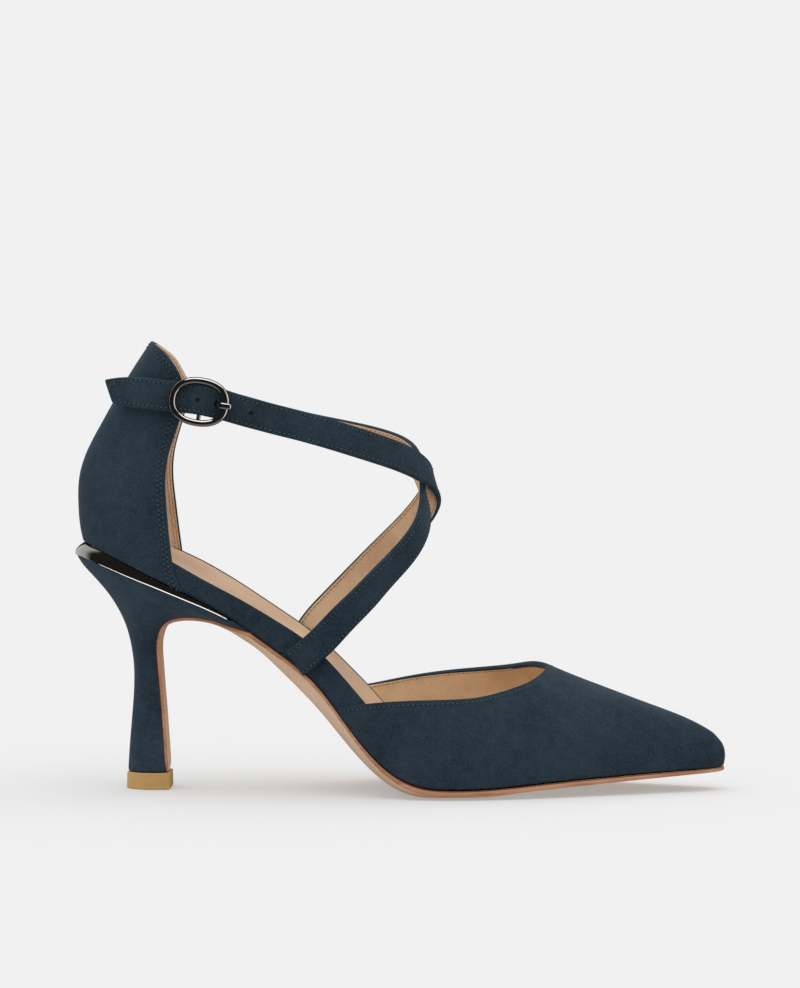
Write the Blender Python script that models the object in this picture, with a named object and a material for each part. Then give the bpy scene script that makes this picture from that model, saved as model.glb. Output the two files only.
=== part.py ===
"""Right pump with crossed ankle straps, an open waist and a flared heel.

Metres, +Z up, toe along +X, the buckled outer side along -Y. Every form is worked out from the last:
its length, ball width, instep and heel height. The lengths below are in millimetres, measured from the
back of the counter and the floor, and become metres when a mesh is made.
"""

import math
from collections import namedtuple

import bmesh
import bpy
import numpy as np

MM = 0.001
LATERAL = -1
MEDIAL = 1

# Driving dimensions
SHOE_LENGTH = 234.0
BALL_WIDTH = 78.8
HEEL_HEIGHT = 89.2
INSTEP = 44.8
LAST_BACK = 3.6
LAST_LENGTH = SHOE_LENGTH - LAST_BACK

# Walls, gaps and small sizes
FIT = 0.3
VAMP_WALL = 2.0
COUNTER_WALL = 2.2
BAND_WALL = 1.0
BAND_STEP = 0.8
BAND_LEAN = 0.3
BAND_START = 34.0
BAND_END = 112.0
VAMP_FULLNESS = 2.2
COUNTER_FULLNESS = 2.3
ARCH_END = 132.0
SOLE_LEAVES = 64.0
SOLE_END = 0.012
INSOLE_INSET = 2.8
INSOLE_CUP = 1.6
CUP_FADES_FROM = 0.42
CUP_FADES_OVER = 0.20
STRAP_WIDTH = 10.6
STRAP_THICK = 2.0
STRAP_EDGE = 0.5
TAIL_SLANT = 2.3

# The last: share of its length, feather height as a share of the heel height, half widths as shares of
# the ball width, camber under the feather, flat share of the bottom, bed over the feather, the
# outsole's thickness and margin, and how far the bed dips at its lateral edge
LastRow = namedtuple("LastRow", "share feather lateral medial camber flat bed sole margin dip")
LAST = [
    LastRow(0.000, 1.000, 0.000, 0.000, 0.0, 0.0, 9.5, 1.8, -0.4, 0.0),
    LastRow(0.010, 0.991, 0.124, 0.124, 0.0, 0.0, 9.5, 1.8, -0.4, 0.0),
    LastRow(0.035, 0.963, 0.222, 0.220, 0.0, 0.0, 9.6, 1.8, -0.4, 0.0),
    LastRow(0.080, 0.908, 0.292, 0.288, 0.0, 0.0, 9.8, 1.8, -0.4, 0.0),
    LastRow(0.130, 0.845, 0.320, 0.313, 0.0, 0.0, 10.2, 1.8, -0.4, 0.9),
    LastRow(0.190, 0.768, 0.308, 0.296, 0.0, 0.0, 10.5, 1.8, -0.4, 2.4),
    LastRow(0.250, 0.672, 0.285, 0.265, 0.0, 0.0, 10.9, 1.8, -0.4, 1.8),
    LastRow(0.310, 0.561, 0.275, 0.251, 6.0, 0.0, 11.7, 1.8, -0.4, 1.0),
    LastRow(0.365, 0.443, 0.299, 0.273, 8.9, 0.0, 12.7, 1.8, -0.4, 0.3),
    LastRow(0.420, 0.266, 0.382, 0.358, 8.1, 0.0, 15.5, 1.9, -0.2, 0.0),
    LastRow(0.470, 0.129, 0.459, 0.438, 5.8, 0.2, 14.3, 2.0, 0.2, 0.0),
    LastRow(0.520, 0.057, 0.497, 0.482, 3.0, 0.5, 6.8, 2.2, 0.6, 0.0),
    LastRow(0.575, 0.040, 0.503, 0.497, 1.5, 0.5, 4.0, 2.2, 0.8, 0.0),
    LastRow(0.630, 0.043, 0.487, 0.492, 1.7, 0.5, 3.5, 2.2, 0.8, 0.0),
    LastRow(0.680, 0.052, 0.447, 0.459, 1.4, 0.4, 3.2, 2.1, 0.8, 0.0),
    LastRow(0.745, 0.064, 0.376, 0.393, 1.0, 0.3, 3.2, 2.0, 0.8, 0.0),
    LastRow(0.810, 0.074, 0.297, 0.316, 0.8, 0.3, 3.2, 1.9, 0.8, 0.0),
    LastRow(0.875, 0.082, 0.216, 0.234, 0.5, 0.3, 3.2, 1.7, 0.7, 0.0),
    LastRow(0.930, 0.087, 0.143, 0.157, 0.3, 0.3, 3.2, 1.5, 0.6, 0.0),
    LastRow(0.975, 0.091, 0.080, 0.091, 0.1, 0.3, 3.0, 1.3, 0.5, 0.0),
    LastRow(0.994, 0.0925, 0.038, 0.046, 0.0, 0.3, 2.8, 1.2, 0.4, 0.0),
    LastRow(1.000, 0.093, 0.000, 0.000, 0.0, 0.3, 2.6, 1.2, 0.4, 0.0),
]

# The ridge over the instep and toe, as a share of the instep
RidgeRow = namedtuple("RidgeRow", "share height")
RIDGE = [
    RidgeRow(0.365, 2.500),
    RidgeRow(0.420, 2.120),
    RidgeRow(0.470, 1.840),
    RidgeRow(0.520, 1.596),
    RidgeRow(0.575, 1.384),
    RidgeRow(0.630, 1.223),
    RidgeRow(0.680, 1.103),
    RidgeRow(0.745, 0.953),
    RidgeRow(0.810, 0.824),
    RidgeRow(0.875, 0.699),
    RidgeRow(0.930, 0.594),
    RidgeRow(0.975, 0.478),
    RidgeRow(0.983, 0.449),
    RidgeRow(0.992, 0.397),
    RidgeRow(0.9985, 0.327),
    RidgeRow(1.000, 0.185),
]

# The vamp's topline on each side, from its rear corner on the sole to the throat's front
ToplineRow = namedtuple("ToplineRow", "x z")
TOPLINE = {
    LATERAL: [
        ToplineRow(95.6, 31.6),
        ToplineRow(106.0, 33.4),
        ToplineRow(124.0, 35.0),
        ToplineRow(137.0, 35.3),
        ToplineRow(148.0, 36.3),
        ToplineRow(158.0, 38.7),
        ToplineRow(166.5, 42.0),
        ToplineRow(170.6, INSTEP),
    ],
    MEDIAL: [
        ToplineRow(93.5, 34.0),
        ToplineRow(103.6, 35.0),
        ToplineRow(117.0, 37.4),
        ToplineRow(134.0, 40.2),
        ToplineRow(151.6, 42.4),
        ToplineRow(160.0, 44.0),
        ToplineRow(166.0, 45.2),
        ToplineRow(170.6, INSTEP),
    ],
}
THROAT = TOPLINE[LATERAL][-1].x

# The heel counter: its back and front edges, its half width, and how much further back its medial
# front edge lies, by height
CounterRow = namedtuple("CounterRow", "z back front half setback")
COUNTER = [
    CounterRow(66.0, 5.0, 47.6, 24.6, 0.0),
    CounterRow(70.0, 4.9, 42.8, 25.0, 0.0),
    CounterRow(75.0, 4.8, 38.8, 25.3, 0.0),
    CounterRow(84.0, 4.3, 36.6, 25.1, 0.0),
    CounterRow(92.0, 2.1, 35.6, 24.4, 0.0),
    CounterRow(102.0, 1.0, 34.6, 23.1, 0.1),
    CounterRow(112.0, 1.2, 34.0, 21.3, 0.4),
    CounterRow(122.0, 4.2, 35.2, 19.5, 0.8),
    CounterRow(132.0, 9.5, 38.5, 18.4, 1.2),
    CounterRow(142.0, 15.1, 40.8, 17.9, 1.6),
    CounterRow(152.0, 21.2, 41.0, 17.7, 2.2),
    CounterRow(162.0, 27.9, 41.0, 17.5, 2.2),
]

# The counter's top edge on each side, from its back peak down to its front corner
PeakRow = namedtuple("PeakRow", "x z")
PEAK = {
    LATERAL: [
        PeakRow(27.0, 161.9),
        PeakRow(31.7, 158.6),
        PeakRow(34.6, 155.9),
        PeakRow(37.6, 152.0),
        PeakRow(39.7, 147.8),
        PeakRow(41.0, 144.0),
    ],
    MEDIAL: [
        PeakRow(27.0, 161.9),
        PeakRow(31.7, 157.3),
        PeakRow(34.3, 154.7),
        PeakRow(36.4, 152.0),
        PeakRow(38.3, 149.0),
        PeakRow(41.0, 144.0),
    ],
}

# The metal wedge between counter and heel: its height by distance from the back
WedgeRow = namedtuple("WedgeRow", "x height")
WEDGE = [
    WedgeRow(0.0, 4.2),
    WedgeRow(4.0, 4.9),
    WedgeRow(9.0, 4.7),
    WedgeRow(21.0, 3.8),
    WedgeRow(31.0, 2.8),
    WedgeRow(40.0, 2.2),
    WedgeRow(56.0, 0.6),
]
WEDGE_TOP_LIP = 0.4
WEDGE_LOW_LIP = 0.8
WEDGE_TAIL = 2.6
SEAT_STEP = 1.2
SEAT_RISE = 4.0

# The heel from its seat to its foot: back and breast edges, half widths at the middle and at the breast,
# and how far a section bulges up between its edges
HeelRow = namedtuple("HeelRow", "back_x back_z breast_x breast_z half breast_half bulge")
HEEL = [
    HeelRow(0.4, 84.6, 61.2, 59.2, 26.0, 21.3, 1.5),
    HeelRow(2.4, 81.2, 57.0, 59.9, 24.4, 20.2, 1.2),
    HeelRow(5.6, 77.6, 51.8, 61.6, 22.4, 18.6, 0.8),
    HeelRow(9.2, 73.6, 45.5, 62.7, 19.8, 16.4, 0.4),
    HeelRow(13.0, 68.7, 39.0, 62.6, 16.8, 13.8, 0.2),
    HeelRow(16.2, 63.2, 33.8, 61.0, 13.8, 11.2, 0.0),
    HeelRow(18.4, 57.9, 30.7, 57.5, 11.5, 9.4, 0.0),
    HeelRow(20.0, 51.4, 29.5, 52.0, 9.8, 8.2, 0.0),
    HeelRow(20.9, 44.0, 29.8, 45.0, 8.6, 7.4, 0.0),
    HeelRow(20.9, 36.3, 30.5, 36.3, 7.9, 7.0, 0.0),
    HeelRow(20.3, 27.6, 31.2, 27.6, 7.7, 6.9, 0.0),
    HeelRow(19.4, 17.0, 31.9, 17.0, 7.9, 7.2, 0.0),
    HeelRow(18.7, 6.3, 32.6, 6.3, 8.4, 7.8, 0.0),
]
HEEL_ROUND = 0.6
HEEL_BACK_FLAT = 5.0
BREAST_SOLE = 1.0
BREAST_SWELL = 3.4
BREAST_SWELL_ROWS = 5
SWELL_FADES_OVER = 16.0
BREAST_MARGIN = -0.2

# The top piece under the heel
TOP_PIECE = HeelRow(18.4, 6.0, 34.2, 6.0, 8.7, 8.0, 0.0)

# The straps' middle lines; lean turns a strap's face up and swing turns it forward, in degrees
StrapRow = namedtuple("StrapRow", "x y z lean swing")
STRAP_OVER = [
    StrapRow(13.6, -13.3, 143.5, 8, 0),
    StrapRow(25.0, -18.2, 142.6, 9, 0),
    StrapRow(34.1, -20.6, 141.7, 8, 0),
    StrapRow(46.7, -21.8, 140.4, 4, 0),
    StrapRow(61.0, -22.6, 137.0, 0, 0),
    StrapRow(75.5, -23.0, 133.2, 2, 0),
    StrapRow(86.3, -22.2, 130.4, 5, 0),
    StrapRow(97.0, -20.3, 127.2, 8, 0),
    StrapRow(108.2, -16.9, 123.5, 10, 0),
    StrapRow(119.6, -11.0, 119.0, 14, 2),
    StrapRow(128.5, -2.6, 112.0, 17, 6),
    StrapRow(127.5, 7.5, 104.0, 20, 0),
    StrapRow(121.8, 14.6, 96.0, 19, 0),
    StrapRow(114.2, 19.2, 88.1, 18, 0),
    StrapRow(106.7, 22.5, 80.6, 17, 0),
    StrapRow(99.1, 24.6, 72.8, 16, 2),
    StrapRow(91.4, 24.8, 64.9, 10, 6),
    StrapRow(85.0, 23.2, 57.8, 4, 12),
    StrapRow(81.6, 22.1, 52.9, 2, 14),
    StrapRow(78.4, 21.4, 48.4, 0, 14),
]
STRAP_UNDER = [
    StrapRow(80.3, -23.3, 46.8, 0, -14),
    StrapRow(84.2, -24.1, 50.0, 2, -12),
    StrapRow(90.3, -25.7, 55.5, 4, 2),
    StrapRow(97.3, -27.2, 62.9, 2, 14),
    StrapRow(104.6, -27.6, 70.2, 0, 20),
    StrapRow(111.5, -25.6, 77.6, -3, 27),
    StrapRow(118.6, -21.2, 85.1, -2, 30),
    StrapRow(124.4, -14.4, 93.3, 0, 29),
    StrapRow(126.3, -6.6, 101.7, 6, 20),
    StrapRow(124.7, 1.2, 110.6, 14, 8),
    StrapRow(121.3, 8.8, 118.9, 17, 0),
    StrapRow(113.0, 15.8, 123.4, 12, 0),
    StrapRow(101.2, 20.4, 126.2, 8, 0),
    StrapRow(90.0, 22.4, 128.2, 4, 0),
    StrapRow(73.0, 23.2, 131.9, 2, 0),
    StrapRow(58.0, 22.6, 136.1, 2, 0),
    StrapRow(47.0, 21.4, 138.8, 6, 0),
    StrapRow(37.6, 20.3, 140.3, 9, 0),
    StrapRow(27.0, 18.1, 141.4, 10, 0),
]
ANKLE_MIDDLE = 75.0
ANKLE_LONG = 53.0
ANKLE_WIDE = 24.0

# The buckle, in its own frame: along the strap, up its width and out from it
BUCKLE_X = 46.7
BUCKLE_LONG = 21.6
BUCKLE_HIGH = 17.4
BUCKLE_WIRE = 2.1
BUCKLE_OVAL = 2.3
BUCKLE_LIFT = 2.6
BAR_WIRE = 1.5
BAR_DROP = 2.2
STRAP_BOW = 1.6
STRAP_BOW_REACH = 9.0
PRONG_WIRE = 1.1
PRONG_SPREAD = 1.6
PRONG_HOLE = 6.4
PRONG_HOLE_LONG = 3.4
PRONG_HOLE_WIDE = 2.3
PRONG_TIP = 1.5
TAB_WIDTH = 8.4
TAB_THICK = 1.0
TAB_EDGE = 0.2
TAB_REACH = 13.0
TAB_FLAT_END = 5.0
TAB_DROP = 2.0
TAB_LOOP_START = -125.0
TAB_LOOP_END = 150.0
TAB_SLOT = 2.4
TAB_SLOT_BACK = 2.6
TAB_SLOT_FRONT = 4.0
PUNCH = 3.0

# The prong's way from the bar, under the strap's end and up through its hole to the frame
ProngRow = namedtuple("ProngRow", "along out")
PRONG = [
    ProngRow(2.2, -1.05),
    ProngRow(4.2, -1.5),
    ProngRow(5.4, -1.3),
    ProngRow(6.2, -0.3),
    ProngRow(6.8, 1.1),
    ProngRow(7.5, 2.6),
    ProngRow(8.4, 4.1),
]
PRONG_LANDS = 9.2


class Track:
    """A smooth curve through a table's rows: a natural cubic spline over one column."""

    def __init__(self, keys, values):
        self.keys = np.asarray(keys, float)
        self.values = np.asarray(values, float)
        count = len(self.keys)
        step = np.diff(self.keys)
        slope = (np.diff(self.values, axis=0).T / step).T
        system = np.eye(count)
        bends = np.zeros_like(self.values)
        for i in range(1, count - 1):
            system[i, i - 1 : i + 2] = step[i - 1], 2 * (step[i - 1] + step[i]), step[i]
            bends[i] = 6 * (slope[i] - slope[i - 1])
        self.bends = np.linalg.solve(system, bends)

    def __call__(self, at):
        at = np.clip(np.asarray(at, float), self.keys[0], self.keys[-1])
        i = np.clip(np.searchsorted(self.keys, at) - 1, 0, len(self.keys) - 2)
        step = self.keys[i + 1] - self.keys[i]
        far = (at - self.keys[i]) / step
        near = 1.0 - far
        if self.values.ndim > 1:
            step, far, near = step[..., None], far[..., None], near[..., None]
        curve = (near**3 - near) * self.bends[i] + (far**3 - far) * self.bends[i + 1]
        return near * self.values[i] + far * self.values[i + 1] + curve * step**2 / 6


def column(rows, field):
    return [getattr(row, field) for row in rows]


def station(share):
    """Where a share of the last's length lies when both round ends are opened out evenly."""
    return np.arccos(1.0 - 2.0 * np.clip(np.asarray(share, float), 0.0, 1.0)) / math.pi


def place_of(x):
    return station((np.asarray(x, float) - LAST_BACK) / LAST_LENGTH)


def x_at(place):
    return LAST_BACK + LAST_LENGTH * (1.0 - np.cos(math.pi * np.asarray(place))) / 2.0


LAST_TRACKS = {
    field: Track(station(column(LAST, "share")), column(LAST, field))
    for field in LastRow._fields[1:]
}
RIDGE_TRACK = Track(station(column(RIDGE, "share")), column(RIDGE, "height"))
TOPLINE_TRACKS = {
    side: Track(column(rows, "x"), column(rows, "z")) for side, rows in TOPLINE.items()
}
COUNTER_TRACKS = {
    field: Track(column(COUNTER, "z"), column(COUNTER, field)) for field in CounterRow._fields[1:]
}
PEAK_TRACKS = {side: Track(column(rows, "x"), column(rows, "z")) for side, rows in PEAK.items()}
WEDGE_TRACK = Track(column(WEDGE, "x"), column(WEDGE, "height"))
HEEL_TRACKS = {
    field: Track(range(len(HEEL)), column(HEEL, field)) for field in HeelRow._fields
}


# The last


def last(field, x):
    return LAST_TRACKS[field](place_of(x))


def feather(x):
    return HEEL_HEIGHT * last("feather", x)


def half_width(x, side):
    return BALL_WIDTH * np.maximum(last("lateral" if side == LATERAL else "medial", x), 0.0)


def ridge(x):
    return INSTEP * RIDGE_TRACK(place_of(x))


def bottom(x, share):
    """The last's underside; share runs from -1 at the lateral feather to +1 at the medial one."""
    flat = last("flat", x)
    crown = (np.maximum(np.abs(share) - flat, 0.0) / (1.0 - flat)) ** 2
    return feather(x) - np.maximum(last("camber", x), 0.0) * (1.0 - crown)


def bed(x, share):
    """The footbed before it is cupped; share runs from -1 at its lateral edge to +1 at its medial one."""
    dip = np.maximum(last("dip", x), 0.0) * ((1.0 - share) / 2.0) ** 2
    return feather(x) + last("bed", x) - dip


def outline(place, side, grow, tail=0.0):
    """A point of the last's outline seen from below, grown outward, and by tail more at its back."""
    reach = 1e-4
    ahead = x_at(np.clip(place + reach, 0.0, 1.0))
    behind = x_at(np.clip(place - reach, 0.0, 1.0))
    run = ahead - behind
    rise = half_width(ahead, side) - half_width(behind, side)
    length = np.hypot(run, rise)
    push = grow + tail * np.maximum(rise / length, 0.0) ** 2
    x = x_at(place)
    return x - push * rise / length, side * (half_width(x, side) + push * run / length)


def rung(place, shares, grow, tail=0.0):
    """Points straight across the last from the lateral to the medial outline."""
    lateral_x, lateral_y = outline(place, LATERAL, grow, tail)
    medial_x, medial_y = outline(place, MEDIAL, grow, tail)
    blend = (shares + 1.0) / 2.0
    return lateral_x + (medial_x - lateral_x) * blend, lateral_y + (medial_y - lateral_y) * blend


# Mesh making


def finish(name, colour, roughness, metallic=0.0):
    material = bpy.data.materials.new(name)
    material.use_nodes = True
    shader = material.node_tree.nodes["Principled BSDF"]
    shader.inputs["Base Color"].default_value = (*colour, 1.0)
    shader.inputs["Roughness"].default_value = roughness
    shader.inputs["Metallic"].default_value = metallic
    return material


def weld(name, grids, material):
    """One closed solid from grids of points whose borders meet."""
    shape = bmesh.new()
    for grid in grids:
        rows = [[shape.verts.new(point * MM) for point in row] for row in np.asarray(grid, float)]
        for low, high in zip(rows, rows[1:]):
            for i in range(len(low) - 1):
                shape.faces.new((low[i], low[i + 1], high[i + 1], high[i]))
    bmesh.ops.remove_doubles(shape, verts=shape.verts, dist=2e-6)
    bmesh.ops.dissolve_degenerate(shape, edges=shape.edges, dist=1e-6)
    bmesh.ops.recalc_face_normals(shape, faces=shape.faces)
    mesh = bpy.data.meshes.new(name)
    shape.to_mesh(mesh)
    shape.free()
    mesh.materials.append(material)
    mesh.shade_smooth()
    mesh.set_sharp_from_angle(angle=math.radians(40))
    solid = bpy.data.objects.new(name, mesh)
    bpy.context.scene.collection.objects.link(solid)
    return solid


def loft(name, rings, material, closed=False):
    """A solid over matching rings; point i faces point -1-i across each end cap."""
    rings = np.asarray(rings, float)
    skin = np.concatenate([rings, rings[:, :1]], axis=1)
    if closed:
        return weld(name, [np.concatenate([skin, skin[:1]])], material)
    half = rings.shape[1] // 2
    caps = [np.stack([ring[:half], ring[half:][::-1]]) for ring in (rings[0], rings[-1])]
    return weld(name, [skin, *caps], material)


def grid_normals(points):
    """Unit normals of a grid of points, by the differences between neighbours."""
    normals = np.cross(np.gradient(points, axis=1), np.gradient(points, axis=0))
    return unit(normals)


def unit(vectors):
    return vectors / np.maximum(np.linalg.norm(vectors, axis=-1, keepdims=True), 1e-12)


def level(normals):
    """Normals turned flat, so that an edge keeps its height through the wall."""
    return unit(normals * np.array([1.0, 1.0, 0.0]))


def slab_ring(x, y, high, low):
    top = np.stack([x, y, high], axis=-1)
    under = np.stack([x, y, low], axis=-1)
    return np.concatenate([top, under[::-1]])


def combine(solid, other, operation):
    """Join or cut a solid with another, which stays as a guide that isn't a piece of the shoe."""
    other.hide_render = True
    other.display_type = "WIRE"
    step = solid.modifiers.new(other.name, "BOOLEAN")
    step.operation = operation
    step.object = other
    step.solver = "EXACT"


# Upper


def topline_rise(x, side):
    """How far round its section the vamp reaches at x: 1 is the ridge."""
    low = feather(x)
    share = np.clip((TOPLINE_TRACKS[side](x) - low) / (ridge(x) - low), 0.0, 1.0)
    return np.where(x >= THROAT, 1.0, np.arcsin(share ** (VAMP_FULLNESS / 2.0)) * 2.0 / math.pi)


def vamp_points(x, side, climb):
    """The vamp's outside; climb runs from 0 at the feather to 1 at the topline or ridge."""
    angle = climb * topline_rise(x, side) * math.pi / 2.0
    across = np.maximum(np.cos(angle), 0.0) ** (2.0 / VAMP_FULLNESS)
    up = np.sin(angle) ** (2.0 / VAMP_FULLNESS)
    low = feather(x)
    z = low + FIT / 2.0 + np.maximum(ridge(x) - low, 0.0) * up
    return np.stack([x, side * half_width(x, side) * across, z], axis=-1)


def ridge_normals(x):
    reach = 0.05
    slope = (ridge(x + reach) - ridge(x - reach)) / (2.0 * reach)
    return unit(np.stack([-slope, 0.0 * x, 0.0 * x + 1.0], axis=-1))


def vamp_stations(side, throat_rows, toe_rows):
    """Rows that close up towards the throat's front and the toe's tip."""
    rear = TOPLINE[side][0].x
    left = 1.0 - np.linspace(0.0, 1.0, throat_rows)
    throat = THROAT - (THROAT - rear) * (left + left**2) / 2.0
    toe = THROAT + (SHOE_LENGTH - THROAT) * (1.0 - (1.0 - np.linspace(0.0, 1.0, toe_rows)) ** 2)
    return np.concatenate([throat, toe[1:]])


def vamp_half(side, throat_rows, toe_rows, columns):
    x = vamp_stations(side, throat_rows, toe_rows)[:, None]
    climb = np.linspace(0.0, 1.0, columns)[None, :]
    outer = vamp_points(x + 0.0 * climb, side, climb + 0.0 * x)
    normals = grid_normals(outer)
    normals *= np.sign(np.sum(normals * [0.0, side, 0.3], axis=-1, keepdims=True))
    normals[:, 0] = level(normals[:, 0])
    normals[throat_rows - 1 :, -1] = ridge_normals(x[throat_rows - 1 :, 0])
    normals[-1] = (1.0, 0.0, 0.0)
    inner = outer - VAMP_WALL * normals
    rims = [
        np.stack([outer[:, 0], inner[:, 0]]),
        np.stack([outer[0], inner[0]]),
        np.stack([outer[:throat_rows, -1], inner[:throat_rows, -1]]),
    ]
    return outer, inner, rims


def make_vamp(name, material, throat_rows=18, toe_rows=14, columns=9):
    grids = []
    for side in (LATERAL, MEDIAL):
        outer, inner, rims = vamp_half(side, throat_rows, toe_rows, columns)
        grids += [outer, inner, *rims]
    return weld(name, grids, material)


def counter_point(turn, z):
    """The counter's outside; turn is -90 degrees at its lateral front edge and +90 at its medial one."""
    depth = np.abs(np.cos(turn)) ** (2.0 / COUNTER_FULLNESS)
    wide = np.abs(np.sin(turn)) ** (2.0 / COUNTER_FULLNESS)
    back, front, half, setback = (COUNTER_TRACKS[field](z) for field in CounterRow._fields[1:])
    front = front - setback * np.maximum(np.sin(turn), 0.0) ** 2
    return np.stack([front - (front - back) * depth, np.sign(turn) * half * wide, z], axis=-1)


def counter_edge(turn, edge, halvings=40):
    """The height where the counter meets an edge line given as a function of x."""
    low = np.full_like(turn, COUNTER[0].z)
    high = np.full_like(turn, COUNTER[-1].z)
    for _ in range(halvings):
        middle = (low + high) / 2.0
        above = middle > edge(counter_point(turn, middle)[..., 0])
        high = np.where(above, middle, high)
        low = np.where(above, low, middle)
    return (low + high) / 2.0


def make_counter(name, material, columns=27, rows=13):
    turn = np.linspace(-math.pi / 2.0, math.pi / 2.0, columns)
    low = counter_edge(turn, lambda x: feather(x) + FIT / 2.0)
    lateral, medial = (counter_edge(turn, PEAK_TRACKS[side]) for side in (LATERAL, MEDIAL))
    high = np.where(turn > 0.0, medial, lateral)
    climb = np.linspace(0.0, 1.0, rows)[:, None]
    outer = counter_point(turn + 0.0 * climb, low + (high - low) * climb)
    normals = grid_normals(outer)
    away = outer - np.array([THROAT, 0.0, 0.0])
    normals *= np.sign(np.sum(normals * away * [1.0, 1.0, 0.0], axis=-1, keepdims=True))
    normals[0] = level(normals[0])
    inner = outer - COUNTER_WALL * normals
    rims = [np.stack([outer[i], inner[i]]) for i in (0, -1)]
    rims += [np.stack([outer[:, i], inner[:, i]]) for i in (0, -1)]
    return weld(name, [outer, inner, *rims], material)


def make_waist_band(name, side, material, rows=24):
    """The low wall along the open waist, set in from the faces of vamp and counter."""
    x = np.linspace(BAND_START, BAND_END, rows)
    face = half_width(x, side) - BAND_STEP
    low = feather(x) + FIT / 2.0
    high = bed(x, side) + FIT
    corners = [
        (face, low),
        (face - BAND_LEAN, high),
        (face - BAND_LEAN - BAND_WALL, high),
        (face - BAND_WALL, low),
    ]
    rings = np.stack([np.stack([x, side * y, z], axis=-1) for y, z in corners], axis=1)
    return loft(name, rings, material)


def make_upper(material):
    upper = make_vamp("upper", material)
    combine(upper, make_counter("counter_wall", material), "UNION")
    for side, word in ((LATERAL, "lateral"), (MEDIAL, "medial")):
        combine(upper, make_waist_band(f"{word}_waist_wall", side, material), "UNION")
    return upper


# Sole, heel and insole


def sole_places(rear_rows=14, arch_rows=20, toe_rows=13):
    """Stations shared by insole, outsole and wedge, closer where the arch bends down to the ball."""
    rear = np.linspace(SOLE_END, place_of(WEDGE[-1].x), rear_rows)
    arch = place_of(np.linspace(WEDGE[-1].x, ARCH_END, arch_rows))
    toe = np.linspace(place_of(ARCH_END), 1.0 - SOLE_END, toe_rows)
    return np.concatenate([rear, arch[1:], toe[1:]])


def cup(x):
    """How far the footbed's middle lies under its edges: full at the heel, none at the ball."""
    share = (x - LAST_BACK) / LAST_LENGTH
    fade = np.clip((share - CUP_FADES_FROM) / CUP_FADES_OVER, 0.0, 1.0)
    return INSOLE_CUP * (1.0 - fade * fade * (3.0 - 2.0 * fade))


def make_insole(material, across=9):
    shares = np.linspace(-1.0, 1.0, across)
    rings = []
    for place in sole_places():
        x, y = rung(place, shares, -INSOLE_INSET)
        high = bed(x, shares) - cup(x) * (1.0 - shares**2)
        rings.append(slab_ring(x, y, high, bottom(x, shares) + FIT / 2.0))
    return loft("insole", rings, material)


def heel_row(index):
    return HeelRow(*(float(HEEL_TRACKS[field](index)) for field in HeelRow._fields))


def arch_swell(x):
    """How much thicker the sole's middle is where it turns down the breast, fading out along the arch."""
    return BREAST_SWELL * (1.0 - np.clip((x - SOLE_LEAVES) / SWELL_FADES_OVER, 0.0, 1.0)) ** 2


def breast_ring(index, shares):
    """A ring of the outsole where it runs down the heel's breast."""
    row = heel_row(index)
    before = heel_row(max(index - 0.5, 0.0))
    after = heel_row(min(index + 0.5, len(HEEL) - 1))
    run = after.breast_x - before.breast_x
    drop = after.breast_z - before.breast_z
    out = np.array([drop, 0.0, -run]) / -math.hypot(run, drop)
    y = shares * (row.breast_half + BREAST_MARGIN)
    middle = np.stack([0.0 * y + row.breast_x, y, 0.0 * y + row.breast_z], axis=-1)
    swell = BREAST_SWELL * max(0.0, 1.0 - index / BREAST_SWELL_ROWS) ** 3
    thick = BREAST_SOLE + swell * (1.0 - shares**2)
    return np.concatenate([middle + FIT * out, (middle + (FIT + thick)[:, None] * out)[::-1]])


def make_outsole(material, across=9):
    shares = np.linspace(-1.0, 1.0, across)
    places = sole_places()
    rings = []
    for place in places[places >= place_of(SOLE_LEAVES) - 1e-6][::-1]:
        x, y = rung(place, shares, last("margin", x_at(place)))
        high = bottom(x, shares) - FIT / 2.0
        thick = last("sole", x) + arch_swell(x) * (1.0 - shares**2)
        rings.append(slab_ring(x, y, high, np.maximum(high - thick, 0.0)))
    rings += [breast_ring(index, shares) for index in range(1, len(HEEL))]
    return loft("outsole", rings, material)


def wedge_top(x):
    return feather(x) - FIT / 2.0


def wedge_under(x):
    return wedge_top(x) - WEDGE_TRACK(x)


def heel_seat(x):
    """The heel's seat: clear under the wedge, and nearly up to the feather in front of it."""
    ahead = np.clip((x - WEDGE[-1].x - SEAT_STEP) / SEAT_RISE, 0.0, 1.0)
    under = wedge_under(x) - FIT
    return under + (wedge_top(x) - FIT / 2.0 - under) * ahead


def make_wedge(material):
    edges = np.array([-1.0, 1.0])
    places = sole_places()
    rings = []
    for place in places[places <= place_of(WEDGE[-1].x) + 1e-6]:
        x, y = rung(place, edges, WEDGE_TOP_LIP)
        low_x, low_y = rung(place, edges, WEDGE_LOW_LIP, WEDGE_TAIL)
        top = np.stack([x, y, wedge_top(x)], axis=-1)
        under = np.stack([low_x, low_y, wedge_under(low_x)], axis=-1)
        rings.append(np.concatenate([top, under[::-1]]))
    return loft("heel_wedge", rings, material)


def heel_ring(row, corners=10, flats=5):
    """A round-backed, flat-fronted section between the back and breast edges."""
    bend = np.linspace(math.radians(HEEL_BACK_FLAT), math.pi / 2.0, corners)
    depth = HEEL_ROUND * (1.0 - np.cos(bend))
    wide = row.half * np.sin(bend)
    ahead = np.linspace(0.0, 1.0, flats + 1)[1:]
    depth = np.concatenate([depth, HEEL_ROUND + (1.0 - HEEL_ROUND) * ahead])
    wide = np.concatenate([wide, row.half + (row.breast_half - row.half) * ahead**2])
    x = row.back_x + (row.breast_x - row.back_x) * depth
    z = row.back_z + (row.breast_z - row.back_z) * depth + row.bulge * 4.0 * depth * (1.0 - depth)
    medial = np.stack([x, wide, z], axis=-1)
    return np.concatenate([medial[::-1] * [1.0, -1.0, 1.0], medial])


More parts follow.
